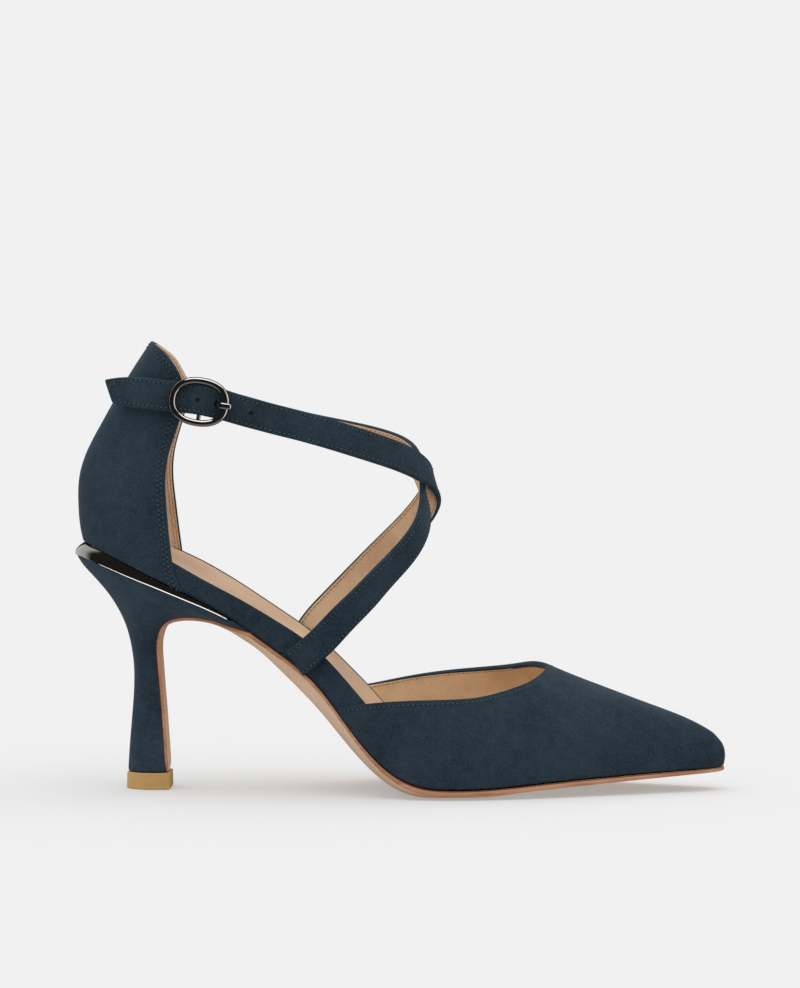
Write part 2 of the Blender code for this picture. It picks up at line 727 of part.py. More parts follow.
def make_heel(material):
    rings = [heel_ring(heel_row(index)) for index in range(len(HEEL))]
    seat = rings[0]
    seat[:, 2] = heel_seat(seat[:, 0])
    return loft("heel", rings, material)


def make_top_piece(material):
    top = heel_ring(TOP_PIECE)
    return loft("top_piece", [top, top * [1.0, 1.0, 0.0]], material)


# Straps and buckle


class StrapLine:
    """A strap's middle line with its own directions: along it, out from the foot and up its width."""

    def __init__(self, rows, bow_at=None):
        points = np.array([[row.x, row.y, row.z] for row in rows])
        steps = np.linalg.norm(np.diff(points, axis=0), axis=1)
        self.run = np.concatenate([[0.0], np.cumsum(steps)])
        self.length = self.run[-1]
        self.line = Track(self.run, points)
        self.lean = Track(self.run, np.radians(column(rows, "lean")))
        self.swing = Track(self.run, np.radians(column(rows, "swing")))
        self.bow_at = None if bow_at is None else self.run[bow_at]

    def frame(self, at):
        reach = 0.2
        point = self.line(at)
        along = unit(self.line(min(at + reach, self.length)) - self.line(max(at - reach, 0.0)))
        lean = float(self.lean(at))
        heading = math.atan2(point[1] / ANKLE_WIDE**2, (point[0] - ANKLE_MIDDLE) / ANKLE_LONG**2)
        heading += float(self.swing(at))
        level_out = np.array([math.cos(heading), math.sin(heading), 0.0])
        out = level_out * math.cos(lean) + np.array([0.0, 0.0, math.sin(lean)])
        out = unit(out - along * np.dot(out, along))
        return point, along, out, np.cross(along, out)

    def bowed(self, at):
        """The frame, lifted where the strap rides over the buckle's bar."""
        point, along, out, up = self.frame(at)
        if self.bow_at is not None and abs(at - self.bow_at) < STRAP_BOW_REACH:
            turn = math.pi * (at - self.bow_at) / STRAP_BOW_REACH
            point = point + out * STRAP_BOW * (1.0 + math.cos(turn)) / 2.0
        return point, along, out, up


def band_ring(frame, width, thick, edge, slant=0.0):
    """A flat band's section with its corners taken off; slant cuts its end at an angle."""
    point, along, out, up = frame
    half, face = width / 2.0, thick / 2.0
    across = np.array([-half, -half + edge, half - edge, half, half, half - edge, -half + edge, -half])
    through = np.array([face - edge, face, face, face - edge, edge - face, -face, -face, edge - face])
    ring = point + across[:, None] * up + through[:, None] * out
    return ring + (slant * across / half)[:, None] * along


def make_strap(name, line, material, rows, slant=0.0):
    rings = []
    for at in np.linspace(0.0, line.length, rows):
        cut = slant * max(0.0, 1.0 - at / STRAP_WIDTH)
        rings.append(band_ring(line.bowed(at), STRAP_WIDTH, STRAP_THICK, STRAP_EDGE, cut))
    return loft(name, rings, material)


def tube(name, path, radius, material, sides=8, closed=False, guide=(0.0, 0.0, 1.0), spread=1.0):
    """A wire along a path, spread wider along guide, a direction that the path keeps clear of."""
    path = np.asarray(path, float)
    if closed:
        along = unit(np.roll(path, -1, axis=0) - np.roll(path, 1, axis=0))
    else:
        along = unit(np.gradient(path, axis=0))
    side = unit(np.cross(along, np.asarray(guide)))
    other = np.cross(along, side)
    rings = []
    for point, one, two in zip(path, side, other):
        turn = 2.0 * math.pi * (np.arange(sides) + 0.5) / sides
        wide = spread * np.sin(turn)[:, None] * two
        rings.append(point + radius * (np.cos(turn)[:, None] * one + wide))
    return loft(name, rings, material, closed)


def arc(centre, radius, start, end, count):
    """Points of an arc in the buckle's along and out plane, angles in degrees from along."""
    turn = np.radians(np.linspace(start, end, count))
    return [(centre[0] + radius * math.cos(a), centre[1] + radius * math.sin(a)) for a in turn]


class Buckle:
    """The buckle's frame on the strap, and the pieces made in it."""

    def __init__(self, line):
        self.line = line
        self.at = line.bow_at
        self.point, self.along, self.out, self.up = line.frame(self.at)

    def place(self, along, up, out):
        return self.point + along * self.along + up * self.up + out * self.out

    def make_frame(self, material, turns=36):
        angle = 2.0 * math.pi * np.arange(turns) / turns
        power = 2.0 / BUCKLE_OVAL
        long = (BUCKLE_LONG - BUCKLE_WIRE) / 2.0
        high = (BUCKLE_HIGH - BUCKLE_WIRE) / 2.0
        x = long * np.sign(np.cos(angle)) * np.abs(np.cos(angle)) ** power
        y = high * np.sign(np.sin(angle)) * np.abs(np.sin(angle)) ** power
        path = [self.place(a, u, BUCKLE_LIFT) for a, u in zip(x, y)]
        frame = tube("buckle_frame", path, BUCKLE_WIRE / 2.0, material, closed=True, guide=self.out)
        bend = BUCKLE_WIRE / 2.0
        leg = [(high, BUCKLE_LIFT), (high - bend * 0.3, -BAR_DROP + bend), (high - bend, -BAR_DROP)]
        bar_path = leg + [(-u, out) for u, out in reversed(leg)]
        bar_points = [self.place(0.0, u, out) for u, out in bar_path]
        bar = tube("buckle_bar", bar_points, BAR_WIRE / 2.0, material, guide=self.along)
        combine(frame, bar, "UNION")
        return frame

    def make_prong(self, material):
        reach = (BAR_WIRE + PRONG_WIRE) / 2.0 + FIT
        rail = (BUCKLE_LONG - BUCKLE_WIRE) / 2.0
        over = BUCKLE_LIFT + (BUCKLE_WIRE + PRONG_WIRE) / 2.0 + FIT
        path = arc((0.0, -BAR_DROP), reach, -45.0, -270.0, 10)
        path += [*PRONG, (PRONG_LANDS, over), (rail, over), (rail + PRONG_TIP, over - PRONG_WIRE / 2.0)]
        points = [self.place(along, 0.0, out) for along, out in path]
        radius = PRONG_WIRE / 2.0
        return tube("buckle_prong", points, radius, material, guide=self.up, spread=PRONG_SPREAD)

    def make_tab(self, material):
        """A band from the counter round the bar and back, slotted where the prong turns."""
        reach = BAR_WIRE / 2.0 + FIT + TAB_THICK / 2.0
        frames = []
        for along in np.linspace(-TAB_REACH, -TAB_FLAT_END, 6):
            point, tangent, out, up = self.line.frame(self.at + along)
            frames.append((point - TAB_DROP * out, tangent, out, up))
        loop = np.array(arc((0.0, -BAR_DROP), reach, TAB_LOOP_START, TAB_LOOP_END, 16))
        for (along, out), (go_along, go_out) in zip(loop, unit(np.gradient(loop, axis=0))):
            tangent = go_along * self.along + go_out * self.out
            inward = -go_out * self.along + go_along * self.out
            frames.append((self.place(along, 0.0, out), tangent, inward, self.up))
        rings = [band_ring(frame, TAB_WIDTH, TAB_THICK, TAB_EDGE) for frame in frames]
        tab = loft("buckle_tab", rings, material)
        combine(tab, self.make_slot_cutter(material), "DIFFERENCE")
        return tab

    def make_slot_cutter(self, material):
        """A block that opens the tab's loop for the prong."""
        half = TAB_SLOT / 2.0
        low = -BAR_DROP - 2.0 * BAR_WIRE
        high = -BAR_DROP + 2.0 * BAR_WIRE
        corners = [(-half, low), (half, low), (half, high), (-half, high)]
        ends = (-TAB_SLOT_BACK, TAB_SLOT_FRONT)
        rings = [[self.place(along, up, out) for up, out in corners] for along in ends]
        return loft("tab_slot", rings, material)

    def make_hole_cutter(self, material, sides=12):
        """An oval punch for the hole that the prong comes up through."""
        turn = 2.0 * math.pi * (np.arange(sides) + 0.5) / sides
        along = PRONG_HOLE + PRONG_HOLE_LONG / 2.0 * np.cos(turn)
        up = PRONG_HOLE_WIDE / 2.0 * np.sin(turn)
        rings = [[self.place(a, u, out) for a, u in zip(along, up)] for out in (-PUNCH, PUNCH)]
        return loft("prong_hole", rings, material)


# Assembly


def clear_scene():
    for thing in list(bpy.data.objects):
        bpy.data.objects.remove(thing, do_unlink=True)


def centre_on_floor(pieces):
    """Hang the pieces under one empty that puts the middle of their box over the origin."""
    bpy.context.view_layer.update()
    corners = np.array([tuple(corner) for piece in pieces for corner in piece.bound_box])
    middle = (corners.min(axis=0) + corners.max(axis=0)) / 2.0
    shoe = bpy.data.objects.new("shoe", None)
    bpy.context.scene.collection.objects.link(shoe)
    for thing in bpy.data.objects:
        if thing is not shoe:
            thing.parent = shoe
    shoe.location = (-middle[0], -middle[1], 0.0)


def main():
    clear_scene()
    suede = finish("suede", (0.026, 0.040, 0.054), 0.9)
    lining = finish("lining", (0.50, 0.36, 0.24), 0.6)
    sole_leather = finish("sole_leather", (0.46, 0.26, 0.14), 0.45)
    rubber = finish("rubber", (0.40, 0.22, 0.09), 0.5)
    metal = finish("gun_metal", (0.16, 0.15, 0.14), 0.2, 1.0)

    strap_over = StrapLine(STRAP_OVER, bow_at=column(STRAP_OVER, "x").index(BUCKLE_X))
    strap_under = StrapLine(STRAP_UNDER)
    buckle = Buckle(strap_over)
    pieces = [
        make_upper(suede),
        make_insole(lining),
        make_outsole(sole_leather),
        make_wedge(metal),
        make_heel(suede),
        make_top_piece(rubber),
        make_strap("strap_over", strap_over, suede, 64, TAIL_SLANT),
        make_strap("strap_under", strap_under, suede, 48),
        buckle.make_frame(metal),
        buckle.make_prong(metal),
        buckle.make_tab(suede),
    ]
    combine(bpy.data.objects["strap_over"], buckle.make_hole_cutter(suede), "DIFFERENCE")
    centre_on_floor(pieces)


main()
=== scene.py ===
"""Looks of a right pump with crossed ankle straps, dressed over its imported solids.

The forms repeat the solids' own sections, finer, and carry suede, lining, stitches and metal.
Lengths are in millimetres from the counter's back and the floor, and become metres in sew().
"""

import math
from collections import namedtuple

import bmesh
import bpy
import numpy as np
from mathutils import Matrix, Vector


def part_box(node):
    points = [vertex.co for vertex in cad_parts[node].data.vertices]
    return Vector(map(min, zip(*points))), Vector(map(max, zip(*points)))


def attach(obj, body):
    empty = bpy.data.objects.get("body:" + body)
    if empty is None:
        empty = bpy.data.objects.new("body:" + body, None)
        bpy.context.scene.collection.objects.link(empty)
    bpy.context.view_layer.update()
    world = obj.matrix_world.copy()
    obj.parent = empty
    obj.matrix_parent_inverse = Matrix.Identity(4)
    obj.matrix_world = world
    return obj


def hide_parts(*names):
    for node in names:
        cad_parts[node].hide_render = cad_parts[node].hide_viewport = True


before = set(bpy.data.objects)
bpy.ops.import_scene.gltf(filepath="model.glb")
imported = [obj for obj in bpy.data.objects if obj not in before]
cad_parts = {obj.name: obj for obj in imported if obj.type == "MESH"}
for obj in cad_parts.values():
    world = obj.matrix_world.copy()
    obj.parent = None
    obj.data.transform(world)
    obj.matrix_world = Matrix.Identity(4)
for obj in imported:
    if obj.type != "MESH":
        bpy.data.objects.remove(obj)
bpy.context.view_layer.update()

# In metres: a millimetre, the reach of a weld and the shortest edge that is kept
MM = 0.001
WELD = 3e-6
SLIVER = 1e-6

# The two sides' signs along Y
LATERAL = -1
MEDIAL = 1

# Driving dimensions
SHOE_LENGTH = 234.0
BALL_WIDTH = 78.8
HEEL_HEIGHT = 89.2
INSTEP = 44.8
LAST_BACK = 3.6
LAST_LENGTH = SHOE_LENGTH - LAST_BACK

# Walls, gaps and small sizes
FIT = 0.3
VAMP_WALL = 2.0
COUNTER_WALL = 2.2
BAND_WALL = 1.0
BAND_STEP = 0.8
BAND_LEAN = 0.3
BAND_START = 34.0
BAND_END = 112.0
VAMP_FULLNESS = 2.2
COUNTER_FULLNESS = 2.3
ARCH_END = 132.0
SOLE_LEAVES = 64.0
SOLE_END = 0.012
INSOLE_INSET = 2.8
INSOLE_CUP = 1.6
CUP_FADES_FROM = 0.42
CUP_FADES_OVER = 0.20
STRAP_WIDTH = 10.6
STRAP_THICK = 2.0
STRAP_CROWN = 0.05
STRAP_ROLL = 0.75
STRAP_LINING_ROLL = 0.45
GROOVE_HALF = 0.3
GROOVE_DEPTH = 0.12
TAIL_SLANT = 2.3

# How rows close up towards a top or front edge, and how near a wall's foot or rear its second row lies
TOP_CLOSE_UP = 1.5
FRONT_CLOSE_UP = 1.7
VAMP_HEM = 0.012
VAMP_REAR_HEM = 0.4
COUNTER_HEM = 0.008

# Rows of the sole at its rear, arch and toe, and where a wall's rim has points, from outside to lining
SOLE_ROWS = (40, 58, 40)
RIM = (0.0, 0.5, 1.0)

# The last: share of its length, feather height as a share of the heel height, half widths as shares of
# the ball width, camber under the feather, flat share of the bottom, bed over the feather, the
# outsole's thickness and margin, and how far the bed dips at its lateral edge
LastRow = namedtuple("LastRow", "share feather lateral medial camber flat bed sole margin dip")
LAST = [
    LastRow(0.000, 1.000, 0.000, 0.000, 0.0, 0.0, 9.5, 1.8, -0.4, 0.0),
    LastRow(0.010, 0.991, 0.124, 0.124, 0.0, 0.0, 9.5, 1.8, -0.4, 0.0),
    LastRow(0.035, 0.963, 0.222, 0.220, 0.0, 0.0, 9.6, 1.8, -0.4, 0.0),
    LastRow(0.080, 0.908, 0.292, 0.288, 0.0, 0.0, 9.8, 1.8, -0.4, 0.0),
    LastRow(0.130, 0.845, 0.320, 0.313, 0.0, 0.0, 10.2, 1.8, -0.4, 0.9),
    LastRow(0.190, 0.768, 0.308, 0.296, 0.0, 0.0, 10.5, 1.8, -0.4, 2.4),
    LastRow(0.250, 0.672, 0.285, 0.265, 0.0, 0.0, 10.9, 1.8, -0.4, 1.8),
    LastRow(0.310, 0.561, 0.275, 0.251, 6.0, 0.0, 11.7, 1.8, -0.4, 1.0),
    LastRow(0.365, 0.443, 0.299, 0.273, 8.9, 0.0, 12.7, 1.8, -0.4, 0.3),
    LastRow(0.420, 0.266, 0.382, 0.358, 8.1, 0.0, 15.5, 1.9, -0.2, 0.0),
    LastRow(0.470, 0.129, 0.459, 0.438, 5.8, 0.2, 14.3, 2.0, 0.2, 0.0),
    LastRow(0.520, 0.057, 0.497, 0.482, 3.0, 0.5, 6.8, 2.2, 0.6, 0.0),
    LastRow(0.575, 0.040, 0.503, 0.497, 1.5, 0.5, 4.0, 2.2, 0.8, 0.0),
    LastRow(0.630, 0.043, 0.487, 0.492, 1.7, 0.5, 3.5, 2.2, 0.8, 0.0),
    LastRow(0.680, 0.052, 0.447, 0.459, 1.4, 0.4, 3.2, 2.1, 0.8, 0.0),
    LastRow(0.745, 0.064, 0.376, 0.393, 1.0, 0.3, 3.2, 2.0, 0.8, 0.0),
    LastRow(0.810, 0.074, 0.297, 0.316, 0.8, 0.3, 3.2, 1.9, 0.8, 0.0),
    LastRow(0.875, 0.082, 0.216, 0.234, 0.5, 0.3, 3.2, 1.7, 0.7, 0.0),
    LastRow(0.930, 0.087, 0.143, 0.157, 0.3, 0.3, 3.2, 1.5, 0.6, 0.0),
    LastRow(0.975, 0.091, 0.080, 0.091, 0.1, 0.3, 3.0, 1.3, 0.4, 0.0),
    LastRow(0.994, 0.0937, 0.038, 0.046, 0.0, 0.3, 2.8, 1.2, 0.1, 0.0),
    LastRow(1.000, 0.097, 0.000, 0.000, 0.0, 0.3, 2.6, 0.8, -0.2, 0.0),
]

# The ridge over the instep and toe, as a share of the instep
RidgeRow = namedtuple("RidgeRow", "share height")
RIDGE = [
    RidgeRow(0.365, 2.500),
    RidgeRow(0.420, 2.120),
    RidgeRow(0.470, 1.840),
    RidgeRow(0.520, 1.596),
    RidgeRow(0.575, 1.384),
    RidgeRow(0.630, 1.223),
    RidgeRow(0.680, 1.103),
    RidgeRow(0.745, 0.953),
    RidgeRow(0.810, 0.824),
    RidgeRow(0.875, 0.699),
    RidgeRow(0.930, 0.594),
    RidgeRow(0.975, 0.478),
    RidgeRow(0.983, 0.449),
    RidgeRow(0.992, 0.397),
    RidgeRow(0.9985, 0.327),
    RidgeRow(1.000, 0.185),
]

# The vamp's topline on each side, from its rear corner on the sole to the throat's front
ToplineRow = namedtuple("ToplineRow", "x z")
TOPLINE = {
    LATERAL: [
        ToplineRow(95.6, 31.6),
        ToplineRow(106.0, 33.4),
        ToplineRow(124.0, 35.0),
        ToplineRow(137.0, 35.3),
        ToplineRow(148.0, 36.3),
        ToplineRow(158.0, 38.7),
        ToplineRow(166.5, 42.0),
        ToplineRow(170.6, INSTEP),
    ],
    MEDIAL: [
        ToplineRow(93.5, 34.0),
        ToplineRow(103.6, 35.0),
        ToplineRow(117.0, 37.4),
        ToplineRow(134.0, 40.2),
        ToplineRow(151.6, 42.4),
        ToplineRow(160.0, 44.0),
        ToplineRow(166.0, 45.2),
        ToplineRow(170.6, INSTEP),
    ],
}
THROAT = TOPLINE[LATERAL][-1].x

# A point inside the throat's opening
OPENING = (THROAT - 30.0, 0.0, 60.0)

# The heel counter: its back and front edges, its half width, and how much further back its medial
# front edge lies, by height
CounterRow = namedtuple("CounterRow", "z back front half setback")
COUNTER = [
    CounterRow(66.0, 5.0, 47.6, 24.6, 0.0),
    CounterRow(70.0, 4.9, 42.8, 25.0, 0.0),
    CounterRow(75.0, 4.8, 38.8, 25.3, 0.0),
    CounterRow(84.0, 4.3, 36.6, 25.1, 0.0),
    CounterRow(92.0, 2.1, 35.6, 24.4, 0.0),
    CounterRow(102.0, 1.0, 34.6, 23.1, 0.1),
    CounterRow(112.0, 1.2, 34.0, 21.3, 0.4),
    CounterRow(122.0, 4.2, 35.2, 19.5, 0.8),
    CounterRow(132.0, 9.5, 38.5, 18.4, 1.2),
    CounterRow(142.0, 15.1, 40.8, 17.9, 1.6),
    CounterRow(152.0, 21.2, 41.0, 17.7, 2.2),
    CounterRow(162.0, 27.9, 41.0, 17.5, 2.2),
]

# The counter's top edge on each side, from its back peak down to its front corner
PeakRow = namedtuple("PeakRow", "x z")
PEAK = {
    LATERAL: [
        PeakRow(27.0, 161.9),
        PeakRow(31.7, 158.6),
        PeakRow(34.6, 155.9),
        PeakRow(37.6, 152.0),
        PeakRow(39.7, 147.8),
        PeakRow(41.0, 144.0),
    ],
    MEDIAL: [
        PeakRow(27.0, 161.9),
        PeakRow(31.9, 157.5),
        PeakRow(34.8, 154.9),
        PeakRow(36.7, 152.0),
        PeakRow(38.3, 149.0),
        PeakRow(41.0, 144.0),
    ],
}

# The metal wedge between counter and heel: its height by distance from the back
WedgeRow = namedtuple("WedgeRow", "x height")
WEDGE = [
    WedgeRow(0.0, 4.2),
    WedgeRow(4.0, 4.9),
    WedgeRow(9.0, 4.7),
    WedgeRow(21.0, 3.8),
    WedgeRow(31.0, 2.8),
    WedgeRow(40.0, 2.2),
    WedgeRow(56.0, 0.6),
]

# How far the wedge's side stands out at its top, at its foot and at its back, and the ledge under it
WEDGE_TOP_LIP = 0.4
WEDGE_LOW_LIP = 0.5
WEDGE_TAIL = 3.2
WEDGE_TAIL_BEND = 2.5
WEDGE_LEDGE = 0.33
WEDGE_LEDGE_LEAST = 0.25
WEDGE_LEDGE_GROWS = 30.0
WEDGE_LEDGE_SLOPE = 0.85
WEDGE_LEDGE_FOOT = 0.1

# Where the heel's seat rises in front of the wedge's tip, and over what length
SEAT_STEP = 0.2
SEAT_RISE = 1.0

# The heel from its seat to its foot: back and breast edges, half widths at the middle and at the breast,
# and how far a section bulges up between its edges
HeelRow = namedtuple("HeelRow", "back_x back_z breast_x breast_z half breast_half bulge")
HEEL = [
    HeelRow(0.4, 84.6, 63.4, 58.5, 26.0, 21.2, 1.5),
    HeelRow(2.4, 81.2, 57.0, 59.9, 24.4, 20.2, 1.2),
    HeelRow(5.6, 77.6, 51.8, 61.6, 22.4, 18.6, 0.8),
    HeelRow(9.2, 73.6, 45.5, 62.7, 19.8, 16.4, 0.4),
    HeelRow(13.0, 68.7, 39.0, 62.6, 16.8, 13.8, 0.2),
    HeelRow(16.2, 63.2, 33.8, 61.0, 13.8, 11.2, 0.0),
    HeelRow(18.4, 57.9, 30.7, 57.5, 11.5, 9.4, 0.0),
    HeelRow(20.0, 51.4, 29.5, 52.0, 9.8, 8.2, 0.0),
    HeelRow(20.9, 44.0, 29.8, 45.0, 8.6, 7.4, 0.0),
    HeelRow(20.9, 36.3, 30.5, 36.3, 7.9, 7.0, 0.0),
    HeelRow(20.3, 27.6, 31.2, 27.6, 7.7, 6.9, 0.0),
    HeelRow(19.4, 17.0, 31.9, 17.0, 7.9, 7.2, 0.0),
    HeelRow(18.7, 6.3, 32.6, 6.3, 8.4, 7.8, 0.0),
]
TOP_PIECE = HeelRow(18.4, 6.0, 34.2, 6.0, 8.7, 8.0, 0.0)

# The share of a heel section's depth that is round, and where its round side starts, in degrees
HEEL_ROUND = 0.6
HEEL_BACK_FLAT = 5.0

# The sole on the heel's breast: its thickness, the swell where it turns down, its margin, its gap to
# the heel and its tip, in rows of the heel
BREAST_SOLE = 1.0
BREAST_SWELL = 3.4
BREAST_SWELL_ROWS = 5
SWELL_FADES_OVER = 16.0
BREAST_MARGIN = -0.2
BREAST_GAP = 0.03
BREAST_TIP = 0.5
BREAST_TIP_NARROWS = 0.3
BREAST_TIP_THINS = 0.5

# The sole's rounded edge
EDGE_POINTS = 4
EDGE_ROUND = 0.8
SOLE_EDGE_SWELL = 0.25
BREAST_EDGE_SWELL = 0.1

# Where the heel's plain cover ends, and how it rolls in round the foot: rows of the heel and insets
COVER_END = 11.84
HEEL_ROLL = ((11.94, 0.06), (11.975, 0.2), (12.0, 0.5))

# The straps' middle lines; lean turns a strap's face up and swing turns it forward, in degrees
StrapRow = namedtuple("StrapRow", "x y z lean swing")
STRAP_OVER = [
    StrapRow(13.6, -13.3, 143.5, 8, 0),
    StrapRow(25.0, -18.2, 142.6, 9, 0),
    StrapRow(34.1, -20.6, 141.7, 8, 0),
    StrapRow(46.7, -21.8, 140.4, 4, 0),
    StrapRow(61.0, -22.6, 137.0, 0, 0),
    StrapRow(75.5, -23.0, 133.2, 2, 0),
    StrapRow(86.3, -22.2, 130.4, 5, 0),
    StrapRow(97.0, -20.3, 127.2, 8, 0),
    StrapRow(108.2, -16.9, 123.5, 10, 0),
    StrapRow(119.6, -11.0, 119.0, 14, 2),
    StrapRow(128.5, -2.6, 112.0, 17, 6),
    StrapRow(127.5, 7.5, 104.0, 20, 0),
    StrapRow(121.8, 14.6, 96.0, 19, 0),
    StrapRow(114.2, 19.2, 88.1, 18, 0),
    StrapRow(106.7, 22.5, 80.6, 17, 0),
    StrapRow(99.1, 24.6, 72.8, 16, 2),
    StrapRow(91.4, 24.8, 64.9, 10, 6),
    StrapRow(85.0, 23.2, 57.8, 4, 12),
    StrapRow(81.6, 22.1, 52.9, 2, 14),
    StrapRow(78.4, 21.4, 48.4, 0, 14),
]
STRAP_UNDER = [
    StrapRow(80.3, -23.3, 46.8, 0, -14),
    StrapRow(84.2, -24.1, 50.0, 2, -12),
    StrapRow(90.3, -25.7, 55.5, 4, 2),
    StrapRow(97.3, -27.2, 62.9, 2, 14),
    StrapRow(104.6, -27.6, 70.2, 0, 20),
    StrapRow(111.5, -25.6, 77.6, -3, 27),
    StrapRow(118.6, -21.2, 85.1, -2, 30),
    StrapRow(124.4, -14.4, 93.3, 0, 29),
    StrapRow(126.3, -6.6, 101.7, 6, 20),
    StrapRow(124.7, 1.2, 110.6, 14, 8),
    StrapRow(121.3, 8.8, 118.9, 17, 0),
    StrapRow(113.0, 15.8, 123.4, 20, 0),
    StrapRow(101.2, 20.4, 126.2, 18, 0),
    StrapRow(90.0, 22.4, 128.2, 10, 0),
    StrapRow(73.0, 23.2, 131.9, 2, 0),
    StrapRow(58.0, 22.6, 136.1, 2, 0),
    StrapRow(47.0, 21.4, 138.8, 6, 0),
    StrapRow(37.6, 20.3, 140.3, 9, 0),
    StrapRow(27.0, 18.1, 141.4, 10, 0),
]

# The oval ankle that the straps' faces turn round
ANKLE_MIDDLE = 75.0
ANKLE_LONG = 53.0
ANKLE_WIDE = 24.0

# The buckle, in its own frame: along the strap, down its width and out from it
BUCKLE_X = 46.7
BUCKLE_LONG = 21.6
BUCKLE_HIGH = 17.4
BUCKLE_WIRE = 2.1
BUCKLE_BAND = 2.4
BUCKLE_OVAL = 2.3
BUCKLE_LIFT = 2.6
BAR_WIRE = 1.5
BAR_DROP = 2.2
BAR_LEG_LEAN = 0.3
BAR_TAPER = (0.6, 0.7, 1.0, 1.0, 0.7, 0.6)
STRAP_BOW = 1.6
STRAP_BOW_REACH = 9.0
STRAP_LIFT = 0.2
STRAP_DRAW = 0.035
STRAP_DRAW_REACH = 18.0
BUCKLE_SAG = 0.5
PRONG_WIRE = 1.1
PRONG_SPREAD = 2.0
PRONG_HOLE = 5.6
PRONG_HOLE_LONG = 1.4
PRONG_HOLE_WIDE = 2.3
PRONG_HOLE_FLOOR = -0.6
PRONG_SLOPE = 0.43
PRONG_TIP = 2.0
PRONG_TAPER = (0.97, 0.85, 0.5)
PRONG_CURL = (-45.0, -270.0)
ProngRow = namedtuple("ProngRow", "along out")
PRONG = [
    ProngRow(2.0, -1.05),
    ProngRow(3.5, -1.5),
    ProngRow(4.6, -1.3),
    ProngRow(5.3, -0.3),
    ProngRow(5.9, 1.1),
    ProngRow(6.6, 2.6),
    ProngRow(7.5, 4.1),
]
PRONG_LANDS = 8.4

# Sewing
STITCH_PITCH = 1.75
STITCH_LENGTH = 1.25
THREAD = 0.24
NEEDLE = 0.34
NEEDLE_RISE = 0.05
STITCH_SINK = 0.1
STITCHES_STOP = 0.5
STRAP_SEAM = 1.25
VAMP_SEAM = 1.7
LINING_SEAM = 1.2
TOPLINE_FOLD = 0.024
FOLD_WIDENS = 14.0
COUNTER_SEAMS = (1.5, 2.8)
COUNTER_LINING_SEAMS = (1.1, 2.2)
STRAP_HOLES = (-0.7, 18.7)
HOLE_SIZE = 1.6
PUNCH_REACH = 4.0
TAIL_ROUND = 1.3
TAIL_ROUND_FADES = 3.0 * TAIL_ROUND
SOCK_SEAM = 0.18

# How far the loose tail's upper and lower edges lie below a straight strap's, by distance from its end
TailRow = namedtuple("TailRow", "at upper lower")
TAIL = [
    TailRow(0.0, 1.05, -0.85),
    TailRow(3.5, 0.30, -0.60),
    TailRow(7.0, -0.30, -0.35),
    TailRow(13.0, -0.75, -0.25),
    TailRow(22.0, -0.50, -0.10),
    TailRow(31.0, 0.0, 0.0),
]

# The toe's nose: how far it stands out over the sole and tucks in at it, and where that fades out
NOSE_BULGE = 0.5
NOSE_TUCK = 0.45
NOSE_HEIGHT = 8.0
NOSE_REACH = 4.0

# Soft folds that stand out of the vamp's lining near the throat: place, lean back over the wall's
# height, width and depth
CreaseRow = namedtuple("CreaseRow", "x lean wide deep")
LINING_CREASES = [
    CreaseRow(133.0, 9.0, 1.6, 0.22),
    CreaseRow(142.0, 10.0, 1.4, 0.28),
    CreaseRow(150.5, 12.0, 1.3, 0.32),
    CreaseRow(157.5, 13.0, 1.2, 0.30),
    CreaseRow(163.5, 12.0, 1.1, 0.24),
]

# The camera: its distance in metres, angles in degrees, the point that it looks at, and its lens as a
# focal length in pixels of a picture of this height
CAMERA_DISTANCE = 1.6
CAMERA_AZIMUTH = 1.7
CAMERA_ELEVATION = 2.6
CAMERA_AIM = (117.0, 0.0, 106.3)
FOCAL_PIXELS = 4444.0
SENSOR = 36.0
PICTURE_HEIGHT = 988.0

# The paper floor, with its reach in metres, the backdrop, and the even light of the walls and of the
# dark room that metal mirrors
FLOOR_REACH = 60.0
PAPER = 0.3750
FLOOR_GLOW = 0.30
BACKDROP = 0.879
WALL_LIGHT = 0.72
DARK_ROOM = 0.025

# Patches of light: how bright, and by axis the direction where each starts and the one where it is full
PatchRow = namedtuple("PatchRow", "light x y z")
LAMPS = {
    "overhead": PatchRow(1.5, None, None, (0.50, 0.85)),
    "behind_heel": PatchRow(0.15, (-0.45, -0.85), None, None),
}
MIRRORED = {
    "panel": PatchRow(3.0, (-0.45, -0.35), (0.08, -0.02), (0.70, 0.78)),
    "screen": PatchRow(0.8, (-0.30, -0.40), (0.02, 0.46), None),
    "sweep": PatchRow(0.32, None, (0.60, 0.40), (-0.45, -0.62)),
    "side": PatchRow(1.4, (0.62, 0.72), (0.30, 0.20), None),
}


# Curves and the last


class Track:
    """A smooth curve through a table's rows: a natural cubic spline over one column."""

    def __init__(self, keys, values):
        self.keys = np.asarray(keys, float)
        self.values = np.asarray(values, float)
        count = len(self.keys)
        step = np.diff(self.keys)
        slope = (np.diff(self.values, axis=0).T / step).T
        system = np.eye(count)
        bends = np.zeros_like(self.values)
        for i in range(1, count - 1):
            system[i, i - 1 : i + 2] = step[i - 1], 2 * (step[i - 1] + step[i]), step[i]
            bends[i] = 6 * (slope[i] - slope[i - 1])
        self.bends = np.linalg.solve(system, bends)

    def __call__(self, at):
        at = np.clip(np.asarray(at, float), self.keys[0], self.keys[-1])
        i = np.clip(np.searchsorted(self.keys, at) - 1, 0, len(self.keys) - 2)
        step = self.keys[i + 1] - self.keys[i]
        far = (at - self.keys[i]) / step
        near = 1.0 - far
        if self.values.ndim > 1:
            step, far, near = step[..., None], far[..., None], near[..., None]
        curve = (near**3 - near) * self.bends[i] + (far**3 - far) * self.bends[i + 1]
        return near * self.values[i] + far * self.values[i + 1] + curve * step**2 / 6


def column(rows, field):
    return [getattr(row, field) for row in rows]


